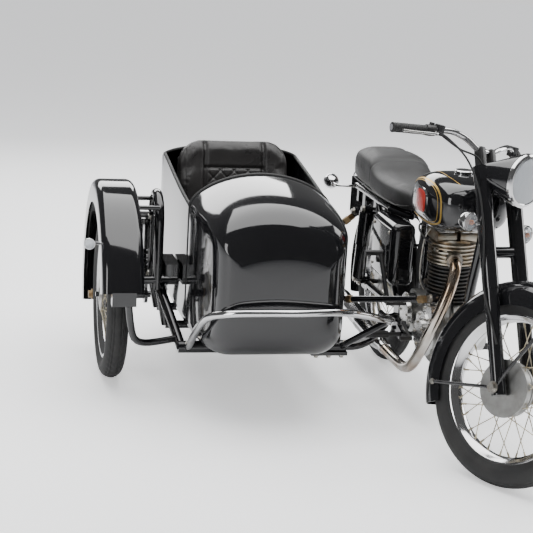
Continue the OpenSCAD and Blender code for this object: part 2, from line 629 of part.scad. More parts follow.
// The outer rail, which arches over the wheel arm's pivot.
module outer_rail(grow) chain_of_rods([rail_front, rail_knee, [arch_x, 110, arch_z],
    [outer_x, rear_tube_y, chassis_z]], rail_d + 2 * grow);
module sidecar_chassis() in_place() color("#131313") {
    rod([-957, front_tube_y, chassis_z], [-310, front_tube_y, chassis_z], cross_tube_d);
    rod([-957, rear_tube_y, chassis_z], [-322, rear_tube_y, chassis_z], 42);
    rod([inner_rail_x, front_tube_y, chassis_z], [inner_rail_x, rear_tube_y, chassis_z], 40);
    outer_rail(0);
    // Cross members under the seat.
    for (y = [-200, 60]) {
        rod([outer_x - 20, y, chassis_z], [inner_rail_x, y, chassis_z], 32);
        rod([arch_x, y, arch_z], [outer_x - 20, y, chassis_z], 30);
    }
    // Pivot for the wheel arm.
    x_cyl(arch_x, -1062, arm_pivot[0], arm_pivot[1], 20);
    rod([arch_x, arm_pivot[0], arch_z], [arch_x, arm_pivot[0], arm_pivot[1] - 10], 36);
    // Posts for the struts.
    rod([inner_rail_x, front_tube_y, chassis_z], [inner_rail_x, front_tube_y, 412], 34);
    rod([inner_rail_x, 60, chassis_z], [inner_rail_x, 60, 470], 34);
    // Bolted plate under the right-hand end of the front tube.
    difference() {
        box([-446, front_tube_y - 22, 170], [-302, front_tube_y + 22, 184]);
        for (x = [-424, -374, -324]) translate([x, front_tube_y - 12, 160]) cylinder(d = 10.5, h = 16);
    }
}
// Hoop that carries the shock absorber and the mudguard, bolted on top of the outer rail.
module sidecar_hoop() in_place() color("#131313") difference() {
    union() {
        for (y = hoop_y) rod([hoop_x, y, arch_z], [hoop_x, y, hoop_z - 94], rail_d);
        translate([hoop_x, -wheel_lead, hoop_z - 94]) rotate([0, 0, 90]) rotate([90, 0, 0])
            rotate_extrude(angle = 180) translate([94, 0]) circle(d = rail_d);
        rod([hoop_x, hoop_y[0], shock_top_z], [hoop_x, hoop_y[1], shock_top_z], 26);
        x_cyl(hoop_x, shock_x_side - 18, -wheel_lead, shock_top_z, stud_d - 1);
        for (y = hoop_y) x_cyl(hoop_x, guard_in_x + gap, y, 690, 18);
        // Cross beam on the wheel side and the box beside the body.
        rod([-940, hoop_y[0], 408], [-1072, hoop_y[0], 408], 34);
        box([-985, hoop_y[0] - 10, arch_z + rail_d / 2 + gap], [-934, -120, 470]);
    }
    outer_rail(gap);
}
stay_start = rail_front + 0.14 * (rail_knee - rail_front);
// Stay from the chassis corner to the front of the wheel's mudguard.
module mudguard_stay() in_place() color("#131313") difference() {
    pipe([stay_start, [-1020, -486, 222], [-1088, -520, 226], [-1130, -562, 256],
        [-1150, -598, 320], [-1160, -608, 392]], 27, 12, 3);
    outer_rail(gap);
    rod([-960, front_tube_y, chassis_z], [-310, front_tube_y, chassis_z], cross_tube_d + 2 * gap);
}
module eye(x0, x1, yz, d) x_cyl(x0, x1, yz[0], yz[1], d);
module sidecar_struts() in_place() color("#1a1a1a") {
    difference() {
        union() {
            rod([inner_rail_x + 4, front_tube_y - 8, 392], [-94, strut_stud_front[0] + 8, strut_stud_front[1] - 4], 24);
            eye(-104, -84, strut_stud_front, 36);
        }
        eye(-130, -40, strut_stud_front, stud_d + 2 * gap);
        rod([inner_rail_x, front_tube_y, chassis_z], [inner_rail_x, front_tube_y, 420], 34 + 2 * gap);
    }
    difference() {
        union() {
            rod([inner_rail_x + 10, 60, 456], [-140, 60, 608], 24);
            eye(-150, -128, strut_stud_rear, 36);
        }
        eye(-160, -100, strut_stud_rear, stud_d + 2 * gap);
        rod([inner_rail_x, 60, chassis_z], [inner_rail_x, 60, 480], 34 + 2 * gap);
    }
    // Curved tube between the chassis' front tube and the frame's pivot plate.
    difference() {
        pipe([[-314, -500, 203], [-262, -500, 205], [-205, -486, 224], [-160, -466, 262],
            [-128, -456, 296], [-plate_x - plate_t + 4, -454, 306]], 36, 12, 3);
        x_cyl(-360, -310 + gap, front_tube_y, chassis_z, 60);
        box([-plate_x - plate_t - gap, -520, 220], [0, -400, 400]);
    }
}
module bumper() in_place() color("#dadadd") difference() {
    pipe([[-922, front_tube_y - 12, 204], [-928, -600, 246],
        [-930, -740, 340], [-908, -850, 418], [-838, -918, 450], [-734, -946, 460], [-600, -946, 460],
        [-450, -908, 452], [-340, -856, 426], [-258, -804, 398], [-216, -764, 382], [-208, -716, 362],
        [-232, -660, 326],
        [-290, -590, 262], [-326, front_tube_y - 12, 206]], bumper_d, 12, 3);
    rod([-960, front_tube_y, chassis_z], [-300, front_tube_y, chassis_z], cross_tube_d + 2 * gap);
}
module sidecar_arm() in_place() color("#151515") difference() {
    union() {
        yz_plate(arm_x[0], arm_x[1]) difference() {
            union() {
                translate([-wheel_lead, side_r]) circle(r = 34);
                translate([arm_pivot[0], arm_pivot[1]]) circle(r = 26);
                polygon([[-wheel_lead, side_r - 30], [arm_pivot[0], arm_pivot[1] - 24],
                    [arm_pivot[0], arm_pivot[1] + 24], [-wheel_lead, side_r + 33]]);
                translate([-wheel_lead - 16, side_r]) square([32, 70]);
                translate([-wheel_lead, side_r + 70]) circle(r = 16);
            }
            translate([arm_pivot[0], arm_pivot[1]]) circle(d = 20 + 2 * gap);
        }
        x_cyl(arm_x[1] - 1, arm_x[1] + 14, -wheel_lead, side_r, 26);
        x_cyl(arm_x[0] + 1, -track - 58, -wheel_lead, side_r, axle_d);
        x_cyl(arm_x[0] + 1, -track + 52, -wheel_lead, side_r, 34);
        x_cyl(arm_x[0] + 1, shock_x_side - 18, -wheel_lead, side_r + 70, stud_d - 1);
    }
}
module sidecar_shock() in_place() {
    low = [shock_x_side, -wheel_lead, side_r + 70];
    high = [shock_x_side, -wheel_lead, shock_top_z];
    difference() {
        union() {
            color("#1a1a1a") rod(low + [0, 0, 18], low + [0, 0, 120], 50);
            color("#d8d8db") rod(low + [0, 0, 118], high - [0, 0, 12], 56);
            color("#1a1a1a") for (p = [low, high])
                x_cyl(shock_x_side - 13 + gap, shock_x_side + 13 - gap, p[1], p[2], 32);
        }
        for (p = [low, high]) x_cyl(-1100, -1040, p[1], p[2], stud_d - 1 + 2 * gap);
    }
}
guard_x = -track + 2.5;
module sidecar_mudguard() in_place() color("#0f0f0f") translate([guard_x, -wheel_lead, side_r]) {
    rotate([0, 90, 0]) rotate([0, 0, 72]) rotate_extrude(angle = 183, $fn = 128) difference() {
        translate([guard_r - 75, 0]) rounded_rect([150, guard_w], 30);
        translate([guard_r - 78, 0]) rounded_rect([150, guard_w - 6], 27);
        translate([0, -100]) square([guard_r - guard_depth, 200]);
    }
    // Lug for the front stay.
    difference() {
        box([-42, -438, 70], [46, -396, 122]);
        rotate([0, 90, 0]) cylinder(r = guard_r - 44, h = 300, center = true);
    }
}
lamp_at = [-1300, -505, 600];
module sidecar_lamp() in_place() color("#cfd0d3") {
    x_cyl(guard_x - guard_w / 2 - gap, lamp_at[0] + 12, lamp_at[1], lamp_at[2], 12);
    translate([lamp_at[0], lamp_at[1] - 20, lamp_at[2]]) rotate([-90, 0, 0]) cylinder(d = 42, h = 44);
}

// ---- sidecar body ----
// Body cross-section: arched top, upright sides and rounded bottom corners, one ring of points.
corner_r = 70;
function half_section(w, b, top, arch, r) = concat(
    [for (k = [0:5]) [w * sin(15 * k), top - arch + arch * pow(cos(15 * k), 1.25)]],
    [[w, top - arch], [w, (top - arch + b + r) / 2]],
    [for (k = [0:4]) [w - r + r * cos(22.5 * k), b + r - r * sin(22.5 * k)]],
    [[(w - r) / 2, b]]);
function body_ring(y, w, b, top, arch, r) = let (h = half_section(w, b, top, arch, r), n = len(h))
    concat([for (k = [0:n - 1]) [-body_x + h[k][0], y, h[k][1]]], [[-body_x, y, b]],
        [for (k = [n - 1:-1:1]) [-body_x - h[k][0], y, h[k][1]]]);
// Shell closed at one end: outer rings from the open end to the cap, then inner rings back.
module end_shell(stations, wall, inward) {
    outer = [for (s = stations) body_ring(s[0], s[1], s[2], s[3], s[4], s[5])];
    inner = [for (s = stations) body_ring(s[0] + (s[0] == stations[0][0] ? 0 : inward * wall), s[1] - wall,
        s[2] + wall, s[3] - wall, max(s[4] - 3, 4), max(s[5] - wall, 6))];
    m = len(outer);
    n = len(outer[0]);
    rings = concat(outer, [for (i = [m - 1:-1:0]) inner[i]]);
    total = 2 * m;
    flip = inward < 0;
    walls = [for (i = [0:total - 1]) if (i != m - 1) let (p = (i + 1) % total) for (j = [0:n - 1])
        let (q = [i * n + j, i * n + (j + 1) % n, p * n + (j + 1) % n, p * n + j])
        flip ? [q[3], q[2], q[1], q[0]] : q];
    cap_out = [for (j = [0:n - 1]) (m - 1) * n + j];
    cap_in = [for (j = [n - 1:-1:0]) m * n + j];
    caps = flip ? [[for (j = [n - 1:-1:0]) cap_out[j]], [for (j = [n - 1:-1:0]) cap_in[j]]] : [cap_out, cap_in];
    polyhedron(points = [for (r = rings) each r], faces = concat(walls, caps));
}
scuttle_y = -400;
seat_back_y = 262;
rim_front_z = 722;
rim_rear_z = 806;
floor_z = chassis_z + cross_tube_d / 2 + gap;
w0 = body_half_w;
nose_stations = [[scuttle_y, w0 - 8, floor_z, 846, 124, 72], [-520, w0 - 12, floor_z, 842, 122, 76],
    [-640, w0 - 20, 232, 833, 118, 82], [-730, w0 - 29, 244, 820, 112, 90], [-800, w0 - 40, 270, 797, 104, 96],
    [-846, w0 - 58, 310, 758, 90, 98], [-872, w0 - 86, 362, 706, 70, 92], [-884, w0 - 120, 420, 648, 46, 70]];
module sidecar_nose() in_place() color("#101010") end_shell(nose_stations, body_wall, 1);
tail_stations = [[seat_back_y, w0, floor_z + 2, 850, 44, 72], [360, w0 - 6, floor_z + 8, 826, 44, 76],
    [450, w0 - 26, 262, 782, 44, 84], [520, w0 - 58, 308, 712, 44, 90], [560, w0 - 98, 368, 630, 40, 80],
    [576, w0 - 140, 428, 556, 30, 50]];
module sidecar_tail() in_place() color("#101010") end_shell(tail_stations, body_wall, -1);
// Open tub between the scuttle and the seat back.
tub_stations = [[scuttle_y + gap, w0 - 8, rim_front_z], [-250, w0 - 2, 741], [-60, w0, 766], [110, w0, 788],
    [seat_back_y - gap, w0, rim_rear_z]];
function tub_half(w, b, rim, r) = concat([[w, rim], [w, (rim + b + r) / 2]],
    [for (k = [0:4]) [w - r + r * cos(22.5 * k), b + r - r * sin(22.5 * k)]], [[(w - r) / 2, b]]);
function tub_ring(y, w, b, rim, r, wall) =
    let (o = tub_half(w, b, rim, r), i = tub_half(w - wall, b + wall, rim, r - wall), n = len(o))
    concat([for (k = [0:n - 1]) [-body_x + o[k][0], y, o[k][1]]], [[-body_x, y, b]],
        [for (k = [n - 1:-1:0]) [-body_x - o[k][0], y, o[k][1]]],
        [for (k = [0:n - 1]) [-body_x - i[k][0], y, i[k][1]]], [[-body_x, y, b + wall]],
        [for (k = [n - 1:-1:0]) [-body_x + i[k][0], y, i[k][1]]]);
// Skin over open-topped rings, whose ends are strips between the outer and the inner line.
module trough(rings) {
    m = len(rings);
    n = len(rings[0]);
    walls = [for (i = [0:m - 2], j = [0:n - 1])
        [i * n + j, i * n + (j + 1) % n, (i + 1) * n + (j + 1) % n, (i + 1) * n + j]];
    last = (m - 1) * n;
    ends = [for (j = [0:n / 2 - 2]) each [[n - 1 - j, n - 2 - j, j + 1, j],
        [last + j, last + j + 1, last + n - 2 - j, last + n - 1 - j]]];
    polyhedron(points = [for (r = rings) each r], faces = concat(walls, ends));
}
module sidecar_tub() in_place() color("#111111")
    trough([for (s = tub_stations) tub_ring(s[0], s[1], floor_z, s[2], 72, body_wall)]);
cushion_z = 405;
base_half = w0 - body_wall - 24;
riser_half = w0 - 76;
module sidecar_seat_base() in_place() color("#2b2b2b") translate([-body_x, 0, 0]) {
    box([-riser_half, -110, floor_z + body_wall], [riser_half, 130, cushion_z - 12]);
    box([-riser_half, 130, floor_z + body_wall], [riser_half, 240, 266]);
    box([-base_half, 235.3, 264], [base_half, seat_back_y - gap, 800]);
}
module sidecar_cushion() in_place() color("#202024")
    loft(-body_x, [[-140, 200, cushion_z + 20, cushion_z + 96], [-120, 236, cushion_z - 11, cushion_z + 118],
        [0, 240, cushion_z - 11.7, cushion_z + 118], [100, 238, cushion_z - 11.7, cushion_z + 104],
        [126, 220, cushion_z + 10, cushion_z + 80]], 0.4, 20);
// Back: a leaning pad with side wings that run forward.
back_half = 225;
module sidecar_backrest() in_place() color("#222226") translate([-body_x, 0, 0]) {
    difference() {
        yz_plate(-back_half, back_half) polygon([[148, 524], [200, 524], [235, 600], [235, 862], [222, 890],
            [196, 894], [172, 872], [130, 620], [126, 560]]);
    }
}

frame();
swingarm();
rear_shocks();
crankcase();
primary_case();
right_covers();
cylinder_barrel();
cylinder_head();
carburettor();
exhaust_header();
silencer();
fuel_tank();
filler_cap();
saddle();
side_boxes();
rear_mudguard();
number_plate();
tail_lamp();
rear_indicators();
foot_controls();
drive_chain();
centre_stand();
fork();
front_mudguard();
headlamp_nacelle();
headlamp();
handlebar();
grips();
hand_levers();
front_brake_plate();
brake_cable();
front_indicators();
front_wheel();
front_tyre();
rear_wheel();
rear_tyre();
sidecar_chassis();
sidecar_hoop();
mudguard_stay();
sidecar_struts();
bumper();
sidecar_arm();
sidecar_shock();
sidecar_mudguard();
sidecar_lamp();
sidecar_tub();
sidecar_nose();
sidecar_tail();
sidecar_seat_base();
sidecar_cushion();
sidecar_backrest();
sidecar_wheel();
sidecar_tyre();
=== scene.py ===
import json
import math

import bmesh
import bpy
import numpy as np
from mathutils import Matrix, Vector


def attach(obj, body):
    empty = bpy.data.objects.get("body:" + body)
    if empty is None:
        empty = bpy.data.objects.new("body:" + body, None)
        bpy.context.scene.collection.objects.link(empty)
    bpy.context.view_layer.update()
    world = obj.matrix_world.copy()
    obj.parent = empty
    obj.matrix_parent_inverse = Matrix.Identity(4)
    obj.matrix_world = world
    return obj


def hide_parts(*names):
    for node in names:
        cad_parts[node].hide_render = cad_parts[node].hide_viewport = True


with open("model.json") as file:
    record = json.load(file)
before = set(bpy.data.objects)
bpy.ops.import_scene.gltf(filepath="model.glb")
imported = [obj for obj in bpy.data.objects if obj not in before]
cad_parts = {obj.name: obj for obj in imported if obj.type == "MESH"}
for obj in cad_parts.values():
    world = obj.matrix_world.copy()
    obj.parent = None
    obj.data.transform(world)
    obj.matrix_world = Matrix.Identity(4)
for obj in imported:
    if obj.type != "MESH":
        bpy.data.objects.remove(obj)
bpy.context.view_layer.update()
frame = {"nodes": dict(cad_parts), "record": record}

# ---- studio ----
# A plain pale floor under soft lights, and a camera ahead of the outfit, above and to the sidecar's side.
# The design's origin is on the floor under the rear axle, in millimetres, and to_row moves it to the row frame.
to_row = Matrix.Translation((0.508, 0.539, 0.0)) @ Matrix.Scale(0.001, 4)
camera_at = to_row @ Vector((-1758, -5565, 1782))
camera_yaw, camera_pitch, camera_roll = math.radians(12.5), math.radians(-13.72), math.radians(3.35)
ahead = Vector((math.sin(camera_yaw) * math.cos(camera_pitch),
                math.cos(camera_yaw) * math.cos(camera_pitch), math.sin(camera_pitch)))
level = ahead.cross(Vector((0, 0, 1))).normalized()
above = level.cross(ahead)
right = level * math.cos(camera_roll) + above * math.sin(camera_roll)
upward = above * math.cos(camera_roll) - level * math.sin(camera_roll)
camera_data = bpy.data.cameras.new("camera")
camera_sensor, camera_lens = 36.0, 96.2
camera_data.sensor_width, camera_data.lens = camera_sensor, camera_lens
camera = bpy.data.objects.new("camera", camera_data)
axes = Matrix((right, upward, -ahead)).transposed().to_4x4()
camera.matrix_world = Matrix.Translation(camera_at) @ axes
bpy.context.scene.collection.objects.link(camera)
bpy.context.scene.camera = camera

world = bpy.data.worlds.new("studio air")
world.use_nodes = True
bpy.context.scene.world = world
air = world.node_tree.nodes
air_links = world.node_tree.links
seen = air.new("ShaderNodeBackground")
seen.inputs["Color"].default_value = (1, 1, 1, 1)
seen.inputs["Strength"].default_value = 1.0
air["Background"].inputs["Color"].default_value = (0.93, 0.95, 1.0, 1)
air["Background"].inputs["Strength"].default_value = 0.5
mirrored = air.new("ShaderNodeBackground")
mirrored.inputs["Strength"].default_value = 0.14
ray, either, last = (air.new("ShaderNodeLightPath"), air.new("ShaderNodeMixShader"), air.new("ShaderNodeMixShader"))
air_links.new(ray.outputs["Is Glossy Ray"], either.inputs[0])
air_links.new(air["Background"].outputs[0], either.inputs[1])
air_links.new(mirrored.outputs[0], either.inputs[2])
air_links.new(ray.outputs["Is Camera Ray"], last.inputs[0])
air_links.new(either.outputs[0], last.inputs[1])
air_links.new(seen.outputs[0], last.inputs[2])
air_links.new(last.outputs[0], air["World Output"].inputs["Surface"])
for lamp_name, place, target, size, power in (
        ("softbox_above", (0.1, 0.4, 4.4), (0, 0.2, 0), (6.0, 5.0), 400),
        ("softbox_left", (-4.4, -3.0, 1.9), (-0.6, 0, 0.5), (1.4, 3.0), 70),
        ("softbox_right", (4.8, 0.6, 2.6), (0, 0, 0.5), (1.8, 3.6), 110),
        ("softbox_behind", (-0.4, 5.0, 2.8), (0, 0, 0.5), (4.0, 1.6), 110)):
    lamp_data = bpy.data.lights.new(lamp_name, "AREA")
    lamp_data.shape, lamp_data.size, lamp_data.size_y, lamp_data.energy = "RECTANGLE", size[0], size[1], power
    lamp = bpy.data.objects.new(lamp_name, lamp_data)
    lamp.location = place
    lamp.rotation_mode = "QUATERNION"
    lamp.rotation_quaternion = (Vector(target) - Vector(place)).to_track_quat("-Z", "Y")
    bpy.context.scene.collection.objects.link(lamp)


def mottled_group():
    """Soft patches, fine scuffs and a slight relief, which most finishes of the outfit share."""
    group = bpy.data.node_groups.new("handled surface", "ShaderNodeTree")
    sockets = group.interface
    for label, kind, value in (("Base", "Color", (0.5, 0.5, 0.5, 1)), ("Worn", "Color", (0.5, 0.5, 0.5, 1)),
                               ("Patch Scale", "Float", 6.0), ("Grain Scale", "Float", 160.0),
                               ("Stretch", "Vector", (1, 1, 1)), ("Wear", "Float", 0.3),
                               ("Rough Low", "Float", 0.2), ("Rough High", "Float", 0.4),
                               ("Relief", "Float", 0.1)):
        made = sockets.new_socket(label, in_out="INPUT", socket_type="NodeSocket" + kind)
        made.default_value = value
    for label, kind in (("Color", "Color"), ("Roughness", "Float"), ("Normal", "Vector")):
        sockets.new_socket(label, in_out="OUTPUT", socket_type="NodeSocket" + kind)
    nodes, links = group.nodes, group.links
    given, out = nodes.new("NodeGroupInput"), nodes.new("NodeGroupOutput")
    where, mapping = nodes.new("ShaderNodeTexCoord"), nodes.new("ShaderNodeMapping")
    patches, grain = nodes.new("ShaderNodeTexNoise"), nodes.new("ShaderNodeTexNoise")
    patches.inputs["Detail"].default_value, grain.inputs["Detail"].default_value = 5.0, 3.0
    spread, worn_by, mix = nodes.new("ShaderNodeMapRange"), nodes.new("ShaderNodeMath"), nodes.new("ShaderNodeMix")
    spread.inputs["From Min"].default_value, spread.inputs["From Max"].default_value = 0.42, 0.7
    worn_by.operation, mix.data_type = "MULTIPLY", "RGBA"
    rough, bump = nodes.new("ShaderNodeMapRange"), nodes.new("ShaderNodeBump")
    rough.inputs["From Min"].default_value, rough.inputs["From Max"].default_value = 0.3, 0.7
    bump.inputs["Distance"].default_value = 0.0006
    blend = nodes.new("ShaderNodeMath")
    blend.operation = "ADD"
    half = nodes.new("ShaderNodeMath")
    half.operation = "MULTIPLY"
    half.inputs[1].default_value = 0.5
    links.new(where.outputs["Object"], mapping.inputs["Vector"])
    links.new(given.outputs["Stretch"], mapping.inputs["Scale"])
    for node, label in ((patches, "Patch Scale"), (grain, "Grain Scale")):
        links.new(mapping.outputs[0], node.inputs["Vector"])
        links.new(given.outputs[label], node.inputs["Scale"])
    links.new(patches.outputs["Fac"], spread.inputs["Value"])
    links.new(spread.outputs[0], worn_by.inputs[0])
    links.new(given.outputs["Wear"], worn_by.inputs[1])
    links.new(worn_by.outputs[0], mix.inputs["Factor"])
    links.new(given.outputs["Base"], mix.inputs["A"])
    links.new(given.outputs["Worn"], mix.inputs["B"])
    links.new(mix.outputs["Result"], out.inputs["Color"])
    links.new(patches.outputs["Fac"], blend.inputs[0])
    links.new(grain.outputs["Fac"], blend.inputs[1])
    links.new(blend.outputs[0], half.inputs[0])
    links.new(half.outputs[0], rough.inputs["Value"])
    links.new(given.outputs["Rough Low"], rough.inputs["To Min"])
    links.new(given.outputs["Rough High"], rough.inputs["To Max"])
    links.new(rough.outputs[0], out.inputs["Roughness"])
    links.new(grain.outputs["Fac"], bump.inputs["Height"])
    links.new(given.outputs["Relief"], bump.inputs["Strength"])
    links.new(bump.outputs[0], out.inputs["Normal"])
    return group


handled = mottled_group()


def finish_named(name, base, worn, rough, patch=6.0, grain=160.0, stretch=(1, 1, 1), wear=0.3, relief=0.05,
                 **constants):
    """A material: colour, roughness and relief from the shared group, constants on the shader itself."""
    made = bpy.data.materials.new(name)
    made.use_nodes = True
    nodes, links = made.node_tree.nodes, made.node_tree.links
    shader, surface = nodes["Principled BSDF"], nodes.new("ShaderNodeGroup")
    surface.node_tree = handled
    for label, value in (("Base", (*base, 1)), ("Worn", (*worn, 1)), ("Patch Scale", patch), ("Grain Scale", grain),
                         ("Stretch", stretch), ("Wear", wear), ("Rough Low", rough[0]), ("Rough High", rough[1]),
                         ("Relief", relief)):
        surface.inputs[label].default_value = value
    for label, socket in (("Color", "Base Color"), ("Roughness", "Roughness"), ("Normal", "Normal")):
        links.new(surface.outputs[label], shader.inputs[socket])
    for label, value in constants.items():
        shader.inputs[label.replace("_", " ")].default_value = value
    return made


floor_finish = finish_named("pale floor", (0.93, 0.93, 0.93), (0.9, 0.9, 0.9), (0.6, 0.7), patch=1.0, relief=0.0)
floor_mesh = bpy.data.meshes.new("floor")
floor_mesh.from_pydata([(-30, -30, 0), (30, -30, 0), (30, 30, 0), (-30, 30, 0)], [], [(0, 1, 2, 3)])
floor = bpy.data.objects.new("floor", floor_mesh)
floor_mesh.materials.append(floor_finish)
floor_nodes, floor_links = floor_finish.node_tree.nodes, floor_finish.node_tree.links
floor_glow, floor_sum = floor_nodes.new("ShaderNodeEmission"), floor_nodes.new("ShaderNodeAddShader")
floor_ray, floor_out = floor_nodes.new("ShaderNodeLightPath"), floor_nodes["Material Output"]
floor_links.new(floor_ray.outputs["Is Camera Ray"], floor_glow.inputs["Strength"])
floor_glow.inputs["Color"].default_value = (0.62, 0.62, 0.62, 1)
floor_links.new(floor_nodes["Principled BSDF"].outputs[0], floor_sum.inputs[0])
floor_links.new(floor_glow.outputs[0], floor_sum.inputs[1])
floor_links.new(floor_sum.outputs[0], floor_out.inputs["Surface"])
bpy.context.scene.collection.objects.link(floor)

# ---- motorcycle frame, swinging arm and stand ----
# Welded tubes and pressed plates in gloss black stoving enamel. The frame carries the engine and saddle,
# the swinging arm carries the rear wheel, and the stand folds up under the engine.
black_enamel = finish_named("black enamel", (0.006, 0.006, 0.007), (0.012, 0.012, 0.013), (0.05, 0.14), patch=4,
                            grain=90, wear=0.5, relief=0.015, Coat_Weight=0.6, Coat_Roughness=0.03)
satin_black = finish_named("satin black", (0.012, 0.012, 0.013), (0.03, 0.028, 0.026), (0.28, 0.5), patch=14,
                           grain=220, wear=0.6, relief=0.12)


def smooth_shaded(mesh, angle=32):
    mesh.shade_smooth()
    mesh.set_sharp_from_angle(angle=math.radians(angle))


def settled(obj, material, body, replaced=()):
    """Gives a finished piece its material and its place in the assembly."""
    obj.data.materials.clear()
    obj.data.materials.append(material)
    if obj.name not in bpy.context.scene.collection.objects:
        bpy.context.scene.collection.objects.link(obj)
    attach(obj, body)
    if replaced:
        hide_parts(*replaced)
    return obj


def body_of_node(node):
    return next(b for b, members in frame["record"]["behaviour"]["bodies"].items() if node in members)


def enamelled(node, material, angle=32, name=None):
    """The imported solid's own shape as one merged, smoothly shaded piece in a maker's finish."""
    copy = bpy.data.objects.new(name or node + "_finished", frame["nodes"][node].data.copy())
    work = bmesh.new()
    work.from_mesh(copy.data)
    bmesh.ops.remove_doubles(work, verts=work.verts, dist=2e-5)
    bmesh.ops.dissolve_degenerate(work, edges=work.edges, dist=1e-6)
    work.to_mesh(copy.data)
    work.free()
    for layer in list(copy.data.attributes):
        if layer.name.startswith("custom_normal"):
            copy.data.attributes.remove(layer)
    smooth_shaded(copy.data, angle)
    return settled(copy, material, body_of_node(node), (node,))


for node in ("frame", "swingarm", "centre_stand", "fork", "sidecar_arm"):
    enamelled(node, black_enamel)
for node in ("rear_mudguard", "front_mudguard", "sidecar_mudguard"):
    enamelled(node, black_enamel, angle=40)
for node in ("sidecar_chassis", "sidecar_hoop", "headlamp_nacelle"):
    enamelled(node, black_enamel, angle=34)


def catmull(points, steps):
    """Points on a smooth curve through the given ones."""
    p = [np.array(q, float) for q in points]
    curve = []
    for i in range(len(p) - 1):
        a, b, c, d = p[max(i - 1, 0)], p[i], p[i + 1], p[min(i + 2, len(p) - 1)]
        for k in range(steps):
            t = k / steps
            curve.append(0.5 * (2 * b + (c - a) * t + (2 * a - 5 * b + 4 * c - d) * t * t
                                + (3 * b - a - 3 * c + d) * t ** 3))
    return curve + [p[-1]]


def new_piece(name, verts, faces, matrix=to_row, angle=32):
    """A closed mesh piece whose faces point outwards."""
    mesh = bpy.data.meshes.new(name)
    mesh.from_pydata([tuple(matrix @ Vector(v)) for v in verts], [], faces)
    work = bmesh.new()
    work.from_mesh(mesh)
    bmesh.ops.remove_doubles(work, verts=work.verts, dist=1e-6)
    bmesh.ops.recalc_face_normals(work, faces=work.faces)
    work.to_mesh(mesh)
    work.free()
    smooth_shaded(mesh, angle)
    return bpy.data.objects.new(name, mesh)


def ring_faces(rings, count, closed=True):
    faces = []
    for i in range(rings - 1):
        for j in range(count if closed else count - 1):
            k = (j + 1) % count
            faces.append((i * count + j, i * count + k, (i + 1) * count + k, (i + 1) * count + j))
    return faces


def tube(name, points, radius, sides=20, steps=8, matrix=to_row, flatten=None):
    """A round bar along a smooth curve. radius is one number, or one for each given point."""
    path = catmull(points, steps)
    radii = np.interp(np.linspace(0, len(points) - 1, len(path)), range(len(points)),
                      radius if hasattr(radius, "__len__") else [radius] * len(points))
    tangents = [b - a for a, b in zip([path[0]] + path[:-1], path[1:] + [path[-1]])]
    tangents = [t / np.linalg.norm(t) for t in tangents]
    side = np.cross(tangents[0], (0, 0, 1.0) if abs(tangents[0][2]) < 0.9 else (0, 1.0, 0))
    verts = []
    for i, (p, t) in enumerate(zip(path, tangents)):
        side = side - t * side.dot(t)
        side /= np.linalg.norm(side)
        up = np.cross(t, side)
        squeeze = flatten[i * len(flatten) // len(path)] if flatten else 1.0
        for k in range(sides):
            a = 2 * math.pi * k / sides
            verts.append(p + radii[i] * (side * math.cos(a) + up * math.sin(a) * squeeze))
    faces = ring_faces(len(path), sides)
    last = (len(path) - 1) * sides
    faces += [tuple(range(sides)), tuple(last + k for k in reversed(range(sides)))]
    return new_piece(name, verts, faces, matrix)


def turned_shape(name, profile, matrix=to_row, segments=96, angle=32):
    """A shape turned on the X axis from a profile of radius and place along the axis, closed at its poles."""
    pole_radius = 1
    verts = [(x, r * math.cos(a), r * math.sin(a)) for r, x in profile
             for a in (2 * math.pi * k / segments for k in range(segments))]
    faces = ring_faces(len(profile), segments)
    for i in (0, len(profile) - 1):
        if profile[i][0] < pole_radius and profile[0] != profile[-1]:
            faces.append(tuple(i * segments + k for k in range(segments)))
    return new_piece(name, verts, faces, matrix, angle)


# ---- wheels ----
# Chromed steel rims on zinc-plated spokes and alloy hubs. Each tyre has a ribbed or blocked tread and
# a plain side wall with two raised lines.
rake, rest_turn, axle_up, fork_offset = math.radians(27), math.radians(32), 326.3038, 67.4
steer_foot = Matrix.Translation((0, -1459.951, 0))
turned = to_row @ steer_foot @ Matrix.Rotation(-rake, 4, "X") @ Matrix.Rotation(rest_turn, 4, "Z")
steered = turned @ Matrix.Rotation(rake, 4, "X") @ steer_foot.inverted()
wheel_places = {
    "front": (turned @ Matrix.Translation((0, -fork_offset, axle_up)), "front_wheel_set", 325.0, 84.0, -1, 92.0),
    "rear": (to_row @ Matrix.Translation((0, 0, 330)), "rear_wheel_set", 330.0, 90.0, 1, 88.0),
    "sidecar": (to_row @ Matrix.Translation((-1184, -196, 325)), "sidecar_wheel_set", 325.0, 84.0, 1, 80.0)}
bead_r = 241.5
chrome = finish_named("chrome plate", (0.72, 0.72, 0.73), (0.5, 0.49, 0.47), (0.05, 0.16), patch=9, grain=130,
                      wear=0.45, relief=0.02, Metallic=1.0)
spoke_zinc = finish_named("zinc plate", (0.55, 0.5, 0.38), (0.28, 0.22, 0.13), (0.25, 0.5), patch=40, grain=300,
                          wear=0.7, relief=0.1, Metallic=1.0)
hub_alloy = finish_named("cast alloy", (0.42, 0.42, 0.41), (0.2, 0.19, 0.17), (0.3, 0.55), patch=18, grain=420,
                         wear=0.7, relief=0.3, Metallic=1.0)
tyre_rubber = finish_named("tyre rubber", (0.012, 0.012, 0.012), (0.035, 0.034, 0.032), (0.55, 0.8), patch=12,
                           grain=500, wear=0.6, relief=0.25)


